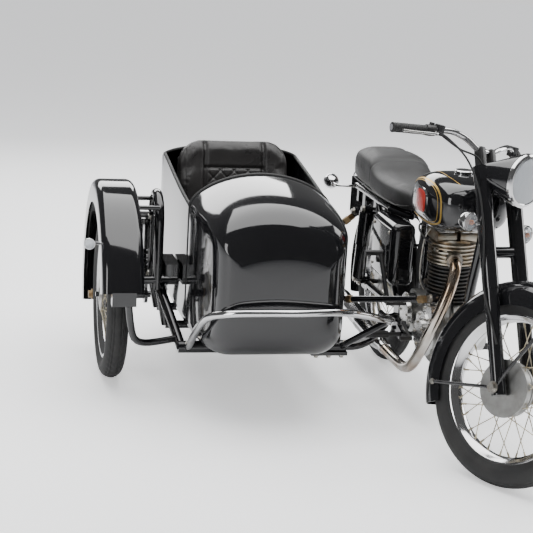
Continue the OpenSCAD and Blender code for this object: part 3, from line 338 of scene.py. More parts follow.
def repeat_tree():
    """Copies a shape Count times round the X axis."""
    tree = bpy.data.node_groups.new("repeat round an axle", "GeometryNodeTree")
    for label, kind in (("Geometry", "Geometry"), ("Count", "Int"), ("Finish", "Material")):
        tree.interface.new_socket(label, in_out="INPUT", socket_type="NodeSocket" + kind)
    tree.interface.new_socket("Geometry", in_out="OUTPUT", socket_type="NodeSocketGeometry")
    nodes, links = tree.nodes, tree.links
    given, out = nodes.new("NodeGroupInput"), nodes.new("NodeGroupOutput")
    points, index = nodes.new("GeometryNodePoints"), nodes.new("GeometryNodeInputIndex")
    step, angle = nodes.new("ShaderNodeMath"), nodes.new("ShaderNodeMath")
    step.operation, angle.operation = "DIVIDE", "MULTIPLY"
    step.inputs[0].default_value = 2 * math.pi
    euler, turn = nodes.new("ShaderNodeCombineXYZ"), nodes.new("FunctionNodeEulerToRotation")
    copies, real = nodes.new("GeometryNodeInstanceOnPoints"), nodes.new("GeometryNodeRealizeInstances")
    paint = nodes.new("GeometryNodeSetMaterial")
    links.new(given.outputs["Count"], points.inputs["Count"])
    links.new(given.outputs["Count"], step.inputs[1])
    links.new(step.outputs[0], angle.inputs[0])
    links.new(index.outputs[0], angle.inputs[1])
    links.new(angle.outputs[0], euler.inputs["X"])
    links.new(euler.outputs[0], turn.inputs[0])
    links.new(points.outputs[0], copies.inputs["Points"])
    links.new(given.outputs["Geometry"], copies.inputs["Instance"])
    links.new(turn.outputs[0], copies.inputs["Rotation"])
    links.new(copies.outputs[0], real.inputs[0])
    links.new(real.outputs[0], paint.inputs["Geometry"])
    links.new(given.outputs["Finish"], paint.inputs["Material"])
    links.new(paint.outputs[0], out.inputs[0])
    return tree


def grown(obj, tree, values, matrix=None):
    """Runs a node tree on a piece, keeps the result as its plain mesh and moves it into place."""
    bpy.context.scene.collection.objects.link(obj)
    modifier = obj.modifiers.new("made", "NODES")
    modifier.node_group = tree
    sockets = {s.name: s.identifier for s in tree.interface.items_tree if s.in_out == "INPUT"}
    for label, value in values.items():
        modifier[sockets[label]] = value
    evaluated = obj.evaluated_get(bpy.context.evaluated_depsgraph_get())
    mesh = bpy.data.meshes.new_from_object(evaluated)
    obj.modifiers.clear()
    obj.data = mesh
    if matrix is not None:
        mesh.transform(matrix)
    smooth_shaded(mesh)
    return obj


round_axle = repeat_tree()
for wheel, (place, body, tyre_r, tyre_w, drum_side, drum_r) in wheel_places.items():
    # The tyre: a grid of rings round the wheel, cut into ribs and blocks by moving the tread points inwards.
    crown = tyre_w / 2
    around, across = 216, 49
    block_rows = {"front": (), "rear": (1, 3), "sidecar": (1, 3)}[wheel]
    profile = []
    for k in range(across):
        phi = math.radians(-118 + 236 * k / (across - 1))
        profile.append((tyre_r - crown + crown * math.cos(phi), crown * math.sin(phi), math.degrees(phi)))
    verts = []
    for s in range(around):
        a = 2 * math.pi * s / around
        for r, x, phi in profile:
            depth = 0.0
            if abs(phi) < 52:
                band = int((abs(phi) + 6.5) // 13)
                inside = (abs(phi) + 6.5) % 13
                if inside < 2.6 and band:
                    depth = 3.4
                elif band in (1, 2, 3) and (s + band) % 4 == 0 and (block_rows or band == 3):
                    depth = 2.6
            elif 74 < abs(phi) < 77 or 90 < abs(phi) < 93:
                depth = -0.7
            r2 = r - depth * math.cos(math.radians(phi))
            verts.append((x - depth * math.sin(math.radians(phi)), r2 * math.cos(a), r2 * math.sin(a)))
        for bead in ((bead_r + 1, 26.0), (bead_r + 1, -26.0)):
            verts.append((bead[1], bead[0] * math.cos(a), bead[0] * math.sin(a)))
    count = across + 2
    faces = [(s * count + k, s * count + (k + 1) % count, ((s + 1) % around) * count + (k + 1) % count,
              ((s + 1) % around) * count + k) for s in range(around) for k in range(count)]
    tyre = new_piece(wheel + "_tyre_rubber", verts, faces, place, angle=50)
    settled(tyre, tyre_rubber, body, (wheel + "_tyre",))
    # The rim: a rolled section with raised edges and a deep well.
    outer = [(249.5, 29), (247.5, 30.5), (244, 29.5), (241, 27.5), (232.5, 15.5), (224, 11), (222.5, 6), (222.5, -6),
             (224, -11), (232.5, -15.5), (241, -27.5), (244, -29.5), (247.5, -30.5), (249.5, -29), (249.5, -26.5),
             (243.5, -25), (241, -14), (230, -8), (228, 0), (230, 8), (241, 14), (243.5, 25), (249.5, 26.5)]
    rim = turned_shape(wheel + "_rim", outer + outer[:1], place, 128, 28)
    settled(rim, chrome, body, (wheel + "_wheel",))
    # The hub with its brake drum on one side and the spoke flange on the other.
    d = drum_side
    hub_profile = [(10.6, -d * 46), (24, -d * 46), (26, -d * 43), (58, -d * 42), (62, -d * 41), (62, -d * 37),
                   (58, -d * 36), (33, -d * 33), (29, -d * 20), (29, d * 4), (36, d * 12), (drum_r - 3, d * 13),
                   (drum_r, d * 16), (drum_r, d * 24), (drum_r - 3, d * 25.5), (drum_r - 3, d * 28), (drum_r, d * 30),
                   (drum_r, d * 45), (drum_r - 2, d * 47), (drum_r - 2, d * 50), (drum_r - 8, d * 50),
                   (drum_r - 9, d * 47), (22, d * 46), (20, d * 49.5), (10.6, d * 49.5)]
    hub = turned_shape(wheel + "_hub", hub_profile + hub_profile[:1], place, 72)
    settled(hub, hub_alloy, body)
    # One spoke of each kind with its nipple, repeated nine times round the axle.
    spokes, spoke_faces = [], []

    def add_bar(a, b, r0, r1, sides=7):
        a, b = Vector(a), Vector(b)
        t = (b - a).normalized()
        u = t.orthogonal().normalized()
        v = t.cross(u)
        start = len(spokes)
        for p, r in ((a, r0), (b, r1)):
            for k in range(sides):
                c = 2 * math.pi * k / sides
                spokes.append(p + (u * math.cos(c) + v * math.sin(c)) * r)
        for k in range(sides):
            n = (k + 1) % sides
            spoke_faces.append((start + k, start + n, start + sides + n, start + sides + k))
        spoke_faces.append(tuple(start + k for k in reversed(range(sides))))
        spoke_faces.append(tuple(start + sides + k for k in range(sides)))

    for kind, (flange_r, flange_x, rim_x, lean) in enumerate((
            (drum_r - 3, d * 46.5, d * 4, 34), (drum_r - 3, d * 43.5, d * 4, -34),
            (58, -d * 38, -d * 4, 62), (58, -d * 40.5, -d * 4, -62))):
        at_rim = math.radians(kind * 10 + (0 if kind < 2 else 5))
        at_hub = at_rim + math.radians(lean)
        low = Vector((flange_x, flange_r * math.cos(at_hub), flange_r * math.sin(at_hub)))
        high = Vector((rim_x, 224 * math.cos(at_rim), 224 * math.sin(at_rim)))
        along = (high - low).normalized()
        add_bar(low, high, 1.9, 1.7)
        add_bar(high - along * 17, high + along * 2, 3.1, 3.6)
    spoke_obj = new_piece(wheel + "_spokes", spokes, spoke_faces, Matrix.Identity(4))
    grown(spoke_obj, round_axle, {"Count": 9, "Finish": spoke_zinc}, place)
    settled(spoke_obj, spoke_zinc, body)

# ---- engine ----
# A single upright cylinder on a dry crankcase: sand-cast and polished alloy cases held by cheese-head
# screws, a black iron barrel, an alloy head with warm-stained fins and polished rocker covers.
polished_alloy = finish_named("polished alloy", (0.62, 0.62, 0.61), (0.36, 0.35, 0.33), (0.12, 0.3), patch=16,
                              grain=260, wear=0.6, relief=0.05, Metallic=1.0)
warm_fins = finish_named("heat stained alloy", (0.5, 0.47, 0.4), (0.3, 0.2, 0.1), (0.28, 0.5), patch=22, grain=420,
                         stretch=(1, 1, 2.5), wear=1.0, relief=0.3, Metallic=1.0)
black_iron = finish_named("black iron", (0.02, 0.02, 0.02), (0.07, 0.055, 0.04), (0.4, 0.65), patch=30, grain=500,
                          wear=0.7, relief=0.4)
bright_steel = finish_named("bright steel", (0.5, 0.49, 0.46), (0.25, 0.2, 0.14), (0.22, 0.45), patch=60,
                            grain=500, wear=0.7, relief=0.1, Metallic=1.0)
black_rubber = finish_named("black rubber", (0.014, 0.014, 0.014), (0.03, 0.03, 0.03), (0.5, 0.7), patch=30,
                            grain=700, wear=0.4, relief=0.3)
enamelled("crankcase", hub_alloy)
enamelled("primary_case", polished_alloy)
enamelled("right_covers", polished_alloy)
enamelled("cylinder_barrel", black_iron)
enamelled("cylinder_head", warm_fins)
enamelled("carburettor", hub_alloy)
enamelled("drive_chain", bright_steel)
enamelled("foot_controls", satin_black)
enamelled("front_brake_plate", hub_alloy)


def bolt_tree():
    """A washer and a six-sided head on each point, facing along the point's own direction."""
    tree = bpy.data.node_groups.new("bolts", "GeometryNodeTree")
    for label, kind in (("Geometry", "Geometry"), ("Across", "Float"), ("Height", "Float"), ("Sides", "Int"),
                        ("Finish", "Material")):
        tree.interface.new_socket(label, in_out="INPUT", socket_type="NodeSocket" + kind)
    tree.interface.new_socket("Geometry", in_out="OUTPUT", socket_type="NodeSocketGeometry")
    nodes, links = tree.nodes, tree.links
    given, out = nodes.new("NodeGroupInput"), nodes.new("NodeGroupOutput")
    head, washer = nodes.new("GeometryNodeMeshCylinder"), nodes.new("GeometryNodeMeshCylinder")
    washer.inputs["Vertices"].default_value = 20
    wide, thin, join = nodes.new("ShaderNodeMath"), nodes.new("ShaderNodeMath"), nodes.new("GeometryNodeJoinGeometry")
    wide.operation = thin.operation = "MULTIPLY"
    wide.inputs[1].default_value, thin.inputs[1].default_value = 0.78, 0.3
    half = nodes.new("ShaderNodeMath")
    half.operation = "MULTIPLY"
    half.inputs[1].default_value = 0.5
    radius = nodes.new("ShaderNodeMath")
    radius.operation = "MULTIPLY"
    radius.inputs[1].default_value = 0.56
    lift, move = nodes.new("ShaderNodeCombineXYZ"), nodes.new("GeometryNodeTransform")
    facing, align = nodes.new("GeometryNodeInputNamedAttribute"), nodes.new("FunctionNodeAlignRotationToVector")
    facing.data_type, facing.inputs["Name"].default_value, align.axis = "FLOAT_VECTOR", "facing", "Z"
    copies, real = nodes.new("GeometryNodeInstanceOnPoints"), nodes.new("GeometryNodeRealizeInstances")
    paint = nodes.new("GeometryNodeSetMaterial")
    links.new(given.outputs["Sides"], head.inputs["Vertices"])
    links.new(given.outputs["Across"], radius.inputs[0])
    links.new(radius.outputs[0], head.inputs["Radius"])
    links.new(given.outputs["Height"], head.inputs["Depth"])
    links.new(given.outputs["Across"], wide.inputs[0])
    links.new(wide.outputs[0], washer.inputs["Radius"])
    links.new(given.outputs["Height"], thin.inputs[0])
    links.new(thin.outputs[0], washer.inputs["Depth"])
    links.new(given.outputs["Height"], half.inputs[0])
    links.new(half.outputs[0], lift.inputs["Z"])
    links.new(head.outputs["Mesh"], move.inputs["Geometry"])
    links.new(lift.outputs[0], move.inputs["Translation"])
    links.new(move.outputs[0], join.inputs[0])
    links.new(washer.outputs["Mesh"], join.inputs[0])
    links.new(facing.outputs["Attribute"], align.inputs["Vector"])
    links.new(given.outputs["Geometry"], copies.inputs["Points"])
    links.new(join.outputs[0], copies.inputs["Instance"])
    links.new(align.outputs[0], copies.inputs["Rotation"])
    links.new(copies.outputs[0], real.inputs[0])
    links.new(real.outputs[0], paint.inputs["Geometry"])
    links.new(given.outputs["Finish"], paint.inputs["Material"])
    links.new(paint.outputs[0], out.inputs[0])
    return tree


bolts_on_points = bolt_tree()


def bolted(name, places, across, height, body, material=bright_steel, matrix=to_row, sides=6):
    """Bolts at (point, direction) places, in design millimetres."""
    mesh = bpy.data.meshes.new(name)
    mesh.from_pydata([tuple(matrix @ Vector(p)) for p, _ in places], [], [])
    way = mesh.attributes.new("facing", "FLOAT_VECTOR", "POINT")
    turn = matrix.to_3x3()
    way.data.foreach_set("vector", [c for _, v in places for c in (turn @ Vector(v)).normalized()])
    obj = bpy.data.objects.new(name, mesh)
    grown(obj, bolts_on_points, {"Across": across / 1000, "Height": height / 1000, "Sides": sides,
                                 "Finish": material})
    return settled(obj, material, body)


def circle_places(x, y, z, radius, count, way, start=0.0):
    return [((x, y + radius * math.cos(start + 2 * math.pi * k / count),
              z + radius * math.sin(start + 2 * math.pi * k / count)), (way, 0, 0)) for k in range(count)]


bolted("cover_screws", circle_places(-98, -760, 330, 73, 7, -1, 0.3) + circle_places(-108, -760, 330, 44, 5, -1)
       + circle_places(-104, -586, 364, 66, 6, -1, 0.5) + circle_places(-112, -586, 364, 40, 4, -1)
       + circle_places(-92, -800, 415, 38, 4, -1, 0.4) + circle_places(140, -590, 352, 55, 6, 1)
       + circle_places(128, -770, 345, 64, 6, 1, 0.4), 9, 5, "chassis", sides=12)
bolted("head_bolts", [((sx * 43, -745 + sy * 48, 722), (0, 0, 1)) for sx in (-1, 1) for sy in (-1, 1)]
       + [((sx * 43, -745, 722), (0, 0, 1)) for sx in (-1, 1)]
       + [((-74, -790, 655), (-1, -0.6, 0)), ((-80, -745, 640), (-1, 0, 0))], 14, 9, "chassis")
# Rocker covers with a raised polished lid, the spark plug with its lead, and the oil pipes.
for n, side in (("left", 1), ("right", -1)):
    lid = new_piece("rocker_cover_" + n, [(side * 43 + sx * 31 * k, -745 + sy * 54 * k, z)
                    for k, z in ((1.0, 716), (1.04, 722), (1.0, 729), (0.8, 735))
                    for sx, sy in ((-1, -0.86), (-0.86, -1), (0.86, -1), (1, -0.86), (1, 0.86), (0.86, 1),
                                   (-0.86, 1), (-1, 0.86))],
                    ring_faces(4, 8) + [tuple(range(8)), tuple(range(24, 32))], angle=50)
    settled(lid, polished_alloy, "chassis")
pipes = {
    "rocker_feed_pipe": ([(-78, -700, 480), (-94, -690, 520), (-96, -690, 600), (-90, -700, 680), (-70, -722, 728),
                          (-45, -735, 740)], 3.2, bright_steel, "steel"),
    "spark_plug": ([(-60, -760, 668), (-92, -772, 676)], [8, 6], bright_steel, "steel"),
    "plug_lead": ([(-88, -771, 675), (-112, -770, 690), (-118, -720, 706), (-96, -640, 712), (-50, -560, 706)], 4.0,
                  black_rubber, "soft_rubber"),
    "oil_pipe_front": ([(-40, -850, 300), (-46, -872, 330), (-50, -865, 420), (-66, -810, 470)], 4.5,
                       bright_steel, "steel"),
    "breather_hose": ([(-30, -560, 445), (-52, -545, 500), (-54, -530, 580), (-40, -522, 640)], 7.0,
                      black_rubber, "soft_rubber"),
    "throttle_cable": ([(18, -606, 714), (16, -640, 728), (8, -700, 727)], 3.0, black_rubber, "soft_rubber")}
for name, (points, radius, material, slot) in pipes.items():
    settled(tube(name, points, radius, 12), material, "chassis")
intake = turned_shape("air_bell", [(20, -571), (23, -569), (30, -556), (31, -540), (27, -526), (20, -520), (20, -571)],
                      to_row @ Matrix.Translation((18, 0, 648)) @ Matrix.Rotation(math.radians(90), 4, "Z"), 48)
settled(intake, polished_alloy, "chassis")

# ---- exhaust ----
# One chromed pipe that sweeps down ahead of the engine, browned by heat near the head, into a tapered silencer.
port_out = (-20, -838, 628)
header_route = [port_out, (-30, -880, 606), (-52, -908, 545), (-78, -912, 470), (-102, -896, 390),
                (-119, -850, 300), (-125, -770, 214), (-124, -680, 176), (-124, -560, 168), (-126, -436, 169)]
heated_chrome = finish_named("heated chrome", (0.66, 0.64, 0.6), (0.33, 0.2, 0.1), (0.08, 0.24), patch=7,
                             grain=130, stretch=(1, 1, 0.6), wear=0.9, relief=0.03, Metallic=1.0)
header = tube("header_pipe", header_route, 20.5, 40, 10)
settled(header, heated_chrome, "chassis", ("exhaust_header",))
clamp_ring = tube("header_clamp", [(-19, -832, 630), (-22, -848, 624)], 30, 32, 2)
settled(clamp_ring, bright_steel, "chassis")
silencer_way = (Vector((-150, 250, 222)) - Vector((-126, -438, 169))).normalized()
silencer_matrix = (to_row @ Matrix.Translation((-126, -438, 169))
                   @ silencer_way.to_track_quat("X", "Z").to_matrix().to_4x4())
silencer = turned_shape("silencer_body", [(15, 0.4), (22.5, 0.4), (24, 2), (24, 22), (22.5, 28), (27, 50),
                        (35, 100), (38, 130), (38, 300), (39, 303), (39, 315), (38, 318), (38, 595), (36, 620),
                        (20, 687), (17, 690), (14, 688), (14, 630), (0.5, 630)], silencer_matrix, 64)
settled(silencer, chrome, "chassis", ("silencer",))

# ---- fuel tank ----
# A pressed-steel saddle tank in black with hand-drawn gold lines, a plain enamelled panel on each side,
# a chromed filler cap and a chromed bead along its lower edge.
tank_stations = [(-986, 52, 812, 862), (-975, 88, 782, 892), (-940, 122, 756, 918), (-860, 142, 738, 936),
                 (-760, 146, 732, 938), (-660, 136, 732, 920), (-580, 114, 736, 888), (-520, 84, 740, 848),
                 (-500, 56, 750, 820)]
tank_lines = np.array(catmull(tank_stations, 9))


def rounded(value, power):
    return math.copysign(abs(value) ** power, value)


def tank_point(y, angle, lift=0.0):
    """A point on the tank's skin at y. angle runs from 0 on top to 90 on the left side, -90 on the right."""
    def at(y2, a2):
        half, low, high = (np.interp(y2, tank_lines[:, 0], tank_lines[:, k]) for k in (1, 2, 3))
        a = math.radians(a2)
        return Vector((half * rounded(math.sin(a), 0.62), y2,
                       (low + high) / 2 + (high - low) / 2 * rounded(math.cos(a), 0.62)))
    p = at(y, angle)
    if not lift:
        return p
    n = (at(y, angle + 2) - at(y, angle - 2)).cross(at(min(y + 3, -500.5), angle) - at(max(y - 3, -985.5), angle))
    return p + n.normalized() * (lift if n.dot(Vector((p.x, 0, p.z - 830))) > 0 else -lift)


def lofted(name, sections, matrix=to_row, caps=((0.93, 1.5), (0.75, 3.0), (0.4, 4.0), (0.02, 4.2)), angle=40):
    """A skin over rings of points, with domed ends."""
    rings = [[Vector(p) for p in ring] for ring in sections]

    def dome(ring, inner):
        middle = sum(ring, Vector()) / len(ring)
        out = (middle - sum(inner, Vector()) / len(inner)).normalized()
        return [[middle + (p - middle) * k + out * d for p in ring] for k, d in caps]
    rings = list(reversed(dome(rings[0], rings[1]))) + rings + dome(rings[-1], rings[-2])
    count = len(rings[0])
    faces = ring_faces(len(rings), count)
    last = (len(rings) - 1) * count
    faces += [tuple(range(count)), tuple(last + k for k in range(count))]
    return new_piece(name, [p for r in rings for p in r], faces, matrix, angle)


tank = lofted("tank_shell", [[tank_point(y, 360 * k / 96 if k < 49 else 360 * k / 96 - 360) for k in range(96)]
                             for y in tank_lines[:, 0]])
settled(tank, black_enamel, "chassis", ("fuel_tank",))
gold_line = finish_named("gold line", (0.62, 0.4, 0.1), (0.42, 0.25, 0.05), (0.25, 0.4), patch=20, grain=300,
                         wear=0.6, relief=0.05, Metallic=0.6)


def ribbon(name, path, width, lift, matrix=to_row):
    """A thin painted line on the tank along (y, angle) points."""
    line = catmull(path, 10)
    verts = []
    for i, (y, a) in enumerate(line):
        p = tank_point(y, a, lift)
        ya, aa = line[max(i - 1, 0)]
        yb, ab = line[min(i + 1, len(line) - 1)]
        t = (tank_point(yb, ab, lift) - tank_point(ya, aa, lift)).normalized()
        n = (tank_point(y, a, lift + 1) - p).normalized()
        s = t.cross(n)
        for k, up in ((-1, -0.6), (-1, 0), (1, 0), (1, -0.6)):
            verts.append(p + s * k * width / 2 + n * up)
    faces = ring_faces(len(line), 4) + [(0, 1, 2, 3), tuple(4 * len(line) - 1 - k for k in range(4))]
    return new_piece(name, verts, faces, matrix)


for n, s in (("left", 1), ("right", -1)):
    outer_path = [(-560, 62), (-640, 56), (-740, 53), (-850, 55), (-915, 68), (-938, 92), (-920, 118), (-850, 128),
                  (-760, 130), (-640, 128)]
    inner_path = [(-560, 68), (-640, 62), (-740, 59), (-845, 61), (-900, 72), (-920, 92), (-904, 113), (-845, 122),
                  (-760, 124), (-640, 122)]
    settled(ribbon("gold_band_" + n, [(y, s * a) for y, a in outer_path], 7.0, 0.5), gold_line, "chassis")
    settled(ribbon("gold_thread_" + n, [(y, s * a) for y, a in inner_path], 2.2, 0.5), gold_line, "chassis")
    top_path = [(-560, 14), (-700, 18), (-840, 20), (-930, 16)]
    settled(ribbon("gold_top_line_" + n, [(y, s * a) for y, a in top_path], 2.4, 0.5), gold_line, "chassis")
    bead = tube("tank_bead_" + n, [tank_point(y, s * 142, 0.5) for y in (-960, -900, -800, -700, -600, -530)], 3.2, 10)
    settled(bead, chrome, "chassis")
badge_enamel = finish_named("panel enamel", (0.42, 0.03, 0.02), (0.3, 0.02, 0.015), (0.1, 0.25), patch=30,
                            grain=300, wear=0.5, relief=0.05, Coat_Weight=0.5)
for n, s in (("left", 1), ("right", -1)):
    for part, size, lift, material, slot in (("rim", 1.0, 2.2, chrome, "chrome_plate"),
                                             ("field", 0.87, 3.2, badge_enamel, "black_paint")):
        verts, rows, spokes_n = [], 7, 48
        for r in range(rows):
            for k in range(spokes_n):
                c = 2 * math.pi * k / spokes_n
                u = size * (r + 0.02) / (rows - 0.98)
                verts.append(tank_point(-775 + 72 * u * rounded(math.cos(c), 0.75),
                                        s * (91 + 17 * u * rounded(math.sin(c), 0.75)),
                                        lift if r < rows - 1 else 0.2))
        badge = new_piece(f"side_panel_{part}_{n}", verts, ring_faces(rows, spokes_n) + [tuple(range(spokes_n))],
                          angle=45)
        settled(badge, material, "chassis")
cap = turned_shape("filler_cap_turned", [(0.3, 936), (30, 936), (31, 938), (31, 940), (33, 941), (34, 944), (34, 948),
                   (31, 951), (20, 952), (0.3, 952)],
                   to_row @ Matrix.Translation((0, -800, 0)) @ Matrix.Rotation(math.radians(-90), 4, "Y"), 48)
settled(cap, chrome, "chassis", ("filler_cap",))

# ---- saddle ----
# A stepped dual saddle: foam on a steel pan under black vinyl, with a piped lower edge.


def leather_group():
    """Fine pebble grain with soft creases, for every covered seat."""
    group = bpy.data.node_groups.new("leather grain", "ShaderNodeTree")
    for label, kind, value in (("Base", "Color", (0.02, 0.02, 0.02, 1)), ("Worn", "Color", (0.05, 0.05, 0.05, 1)),
                               ("Grain Scale", "Float", 420.0), ("Crease Scale", "Float", 22.0),
                               ("Grain Depth", "Float", 0.3), ("Rough Low", "Float", 0.3),
                               ("Rough High", "Float", 0.5)):
        made = group.interface.new_socket(label, in_out="INPUT", socket_type="NodeSocket" + kind)
        made.default_value = value
    for label, kind in (("Color", "Color"), ("Roughness", "Float"), ("Normal", "Vector")):
        group.interface.new_socket(label, in_out="OUTPUT", socket_type="NodeSocket" + kind)
    nodes, links = group.nodes, group.links
    given, out, where = nodes.new("NodeGroupInput"), nodes.new("NodeGroupOutput"), nodes.new("ShaderNodeTexCoord")
    cells, crease, mix = nodes.new("ShaderNodeTexVoronoi"), nodes.new("ShaderNodeTexNoise"), nodes.new("ShaderNodeMix")
    cells.feature, mix.data_type = "DISTANCE_TO_EDGE", "RGBA"
    crease.inputs["Detail"].default_value, crease.inputs["Distortion"].default_value = 6.0, 0.8
    level_cells, rough = nodes.new("ShaderNodeMapRange"), nodes.new("ShaderNodeMapRange")
    level_cells.inputs["From Max"].default_value = 0.12
    grain_bump, crease_bump = nodes.new("ShaderNodeBump"), nodes.new("ShaderNodeBump")
    grain_bump.inputs["Distance"].default_value, crease_bump.inputs["Distance"].default_value = 0.0006, 0.003
    crease_bump.inputs["Strength"].default_value = 0.25
    for node, label in ((cells, "Grain Scale"), (crease, "Crease Scale")):
        links.new(where.outputs["Object"], node.inputs["Vector"])
        links.new(given.outputs[label], node.inputs["Scale"])
    links.new(cells.outputs["Distance"], level_cells.inputs["Value"])
    links.new(crease.outputs["Fac"], mix.inputs["Factor"])
    links.new(given.outputs["Base"], mix.inputs["A"])
    links.new(given.outputs["Worn"], mix.inputs["B"])
    links.new(mix.outputs["Result"], out.inputs["Color"])
    links.new(crease.outputs["Fac"], rough.inputs["Value"])
    links.new(given.outputs["Rough Low"], rough.inputs["To Min"])
    links.new(given.outputs["Rough High"], rough.inputs["To Max"])
    links.new(rough.outputs[0], out.inputs["Roughness"])
    links.new(crease.outputs["Fac"], crease_bump.inputs["Height"])
    links.new(level_cells.outputs[0], grain_bump.inputs["Height"])
    links.new(given.outputs["Grain Depth"], grain_bump.inputs["Strength"])
    links.new(crease_bump.outputs[0], grain_bump.inputs["Normal"])
    links.new(grain_bump.outputs[0], out.inputs["Normal"])
    return group


grained = leather_group()


def hide_named(name, base, worn, rough, grain=420.0, crease=22.0, depth=0.3, **constants):
    made = bpy.data.materials.new(name)
    made.use_nodes = True
    nodes, links = made.node_tree.nodes, made.node_tree.links
    shader, surface = nodes["Principled BSDF"], nodes.new("ShaderNodeGroup")
    surface.node_tree = grained
    for label, value in (("Base", (*base, 1)), ("Worn", (*worn, 1)), ("Grain Scale", grain),
                         ("Crease Scale", crease), ("Grain Depth", depth), ("Rough Low", rough[0]),
                         ("Rough High", rough[1])):
        surface.inputs[label].default_value = value
    for label, socket in (("Color", "Base Color"), ("Roughness", "Roughness"), ("Normal", "Normal")):
        links.new(surface.outputs[label], shader.inputs[socket])
    for label, value in constants.items():
        shader.inputs[label.replace("_", " ")].default_value = value
    return made


black_vinyl = hide_named("black vinyl", (0.012, 0.012, 0.012), (0.03, 0.03, 0.03), (0.42, 0.6), grain=600, crease=9,
                         depth=0.25)
piping_vinyl = hide_named("piping vinyl", (0.01, 0.01, 0.01), (0.02, 0.02, 0.02), (0.35, 0.5), grain=700, crease=40)


def plain_copy(obj):
    mesh = bpy.data.meshes.new_from_object(obj.evaluated_get(bpy.context.evaluated_depsgraph_get()))
    obj.modifiers.clear()
    obj.data = mesh


def stuffed(obj, voxel, cap, pressure=4.0, fixed=None):
    """Swells a closed cover as foam does: an even mesh, a short pressure simulation, and a cap on the movement."""
    if obj.name not in bpy.context.scene.collection.objects:
        bpy.context.scene.collection.objects.link(obj)
    even = obj.modifiers.new("even", "REMESH")
    even.mode, even.voxel_size, even.use_smooth_shade = "VOXEL", voxel, True
    plain_copy(obj)
    rest = np.array([v.co for v in obj.data.vertices], float)
    cloth = obj.modifiers.new("cover", "CLOTH")
    cloth.settings.use_pressure = True
    cloth.settings.uniform_pressure_force = pressure
    cloth.settings.effector_weights.gravity = 0.0
    cloth.settings.quality = 4
    cloth.collision_settings.use_collision = False
    cloth.point_cache.frame_start, cloth.point_cache.frame_end = 1, 20
    for step in range(1, 21):
        bpy.context.scene.frame_set(step)
    swollen = obj.evaluated_get(bpy.context.evaluated_depsgraph_get())
    moved = np.array([v.co for v in swollen.data.vertices], float) - rest
    obj.modifiers.clear()
    bpy.context.scene.frame_set(1)
    far = np.linalg.norm(moved, axis=1, keepdims=True)
    moved *= np.minimum(1.0, cap / np.maximum(far, 1e-9))
    if fixed is not None:
        moved *= np.array([fixed(Vector(p)) for p in rest])[:, None]
    obj.data.vertices.foreach_set("co", (rest + moved).ravel())
    obj.data.update()
    return obj


def smoothed_once(obj, factor=0.5, turns=3):
    ease = obj.modifiers.new("ease", "SMOOTH")
    ease.factor, ease.iterations = factor, turns
    finer = obj.modifiers.new("finer", "SUBSURF")
    finer.levels = finer.render_levels = 1
    plain_copy(obj)
    obj.data.shade_smooth()
    return obj


def sewn(obj, depth_at):
    """Pulls the cover in along its seams: depth_at(design point, normal) gives the depth in millimetres."""
    mesh = obj.data
    inverse = to_row.inverted()
    normals = [v.normal.copy() for v in mesh.vertices]
    for v, n in zip(mesh.vertices, normals):
        depth = depth_at(inverse @ v.co, n)
        if depth:
            v.co = v.co - n * depth * 0.001
    mesh.update()
    return obj


saddle_stations = [(-490, 56, 752, 786), (-474, 88, 737, 806), (-400, 118, 722, 816), (-250, 131, 716, 813),
                   (-130, 134, 715, 820), (-70, 134, 715, 838), (-30, 131, 715, 860), (30, 129, 715, 867),
                   (120, 127, 715, 867), (220, 117, 718, 863), (272, 94, 727, 848), (292, 58, 750, 822)]


def rounded_section(x, half, y, low, high, power, count=48):
    ring = []
    for k in range(count):
        a = 2 * math.pi * k / count
        ring.append((x + half * rounded(math.sin(a), power), y,
                     (low + high) / 2 + (high - low) / 2 * rounded(math.cos(a), power)))
    return ring


saddle = lofted("saddle_cover", [rounded_section(0, h, y, a, b, 0.5)
                                 for y, h, a, b in catmull(saddle_stations, 5)])
stuffed(saddle, 0.006, 0.004)
smoothed_once(saddle, 0.5, 4)


def saddle_seams(p, n):
    across = min(abs(p.y + 52), 60)
    seam = 2.2 * math.exp(-(across / 5.0) ** 2) * (1 if p.z > 760 else 0.3)
    edge = 2.0 * math.exp(-((p.z - 738) / 5.0) ** 2) if abs(n.z) < 0.8 else 0
    return seam + edge


sewn(saddle, saddle_seams)
settled(saddle, black_vinyl, "chassis", ("saddle",))
saddle_edge = [(y, h * 0.985) for y, h, _, _ in saddle_stations[1:-1]]
for n, s in (("left", 1), ("right", -1)):
    piping = tube("saddle_piping_" + n, [(s * (h + 2.2), y, 738 + (12 if y > 250 or y < -450 else 0))
                                         for y, h in saddle_edge], 2.6, 10, 6)
    settled(piping, piping_vinyl, "chassis")

# ---- toolboxes and air box ----
# Deep pressed boxes under the saddle on both sides, with rounded corners, small screws and a round knob.


def rounded_block(name, low, high, bevel, segments=5, matrix=to_row):
    mesh = bpy.data.meshes.new(name)
    work = bmesh.new()
    bmesh.ops.create_cube(work, size=1.0)
    for v in work.verts:
        v.co = Vector(((low[i] + high[i]) / 2 + v.co[i] * (high[i] - low[i]) for i in range(3)))
    bmesh.ops.bevel(work, geom=list(work.edges), offset=bevel, segments=segments, profile=0.55, affect="EDGES")
    work.to_mesh(mesh)
    work.free()
    mesh.transform(matrix)
    smooth_shaded(mesh, 30)
    return bpy.data.objects.new(name, mesh)


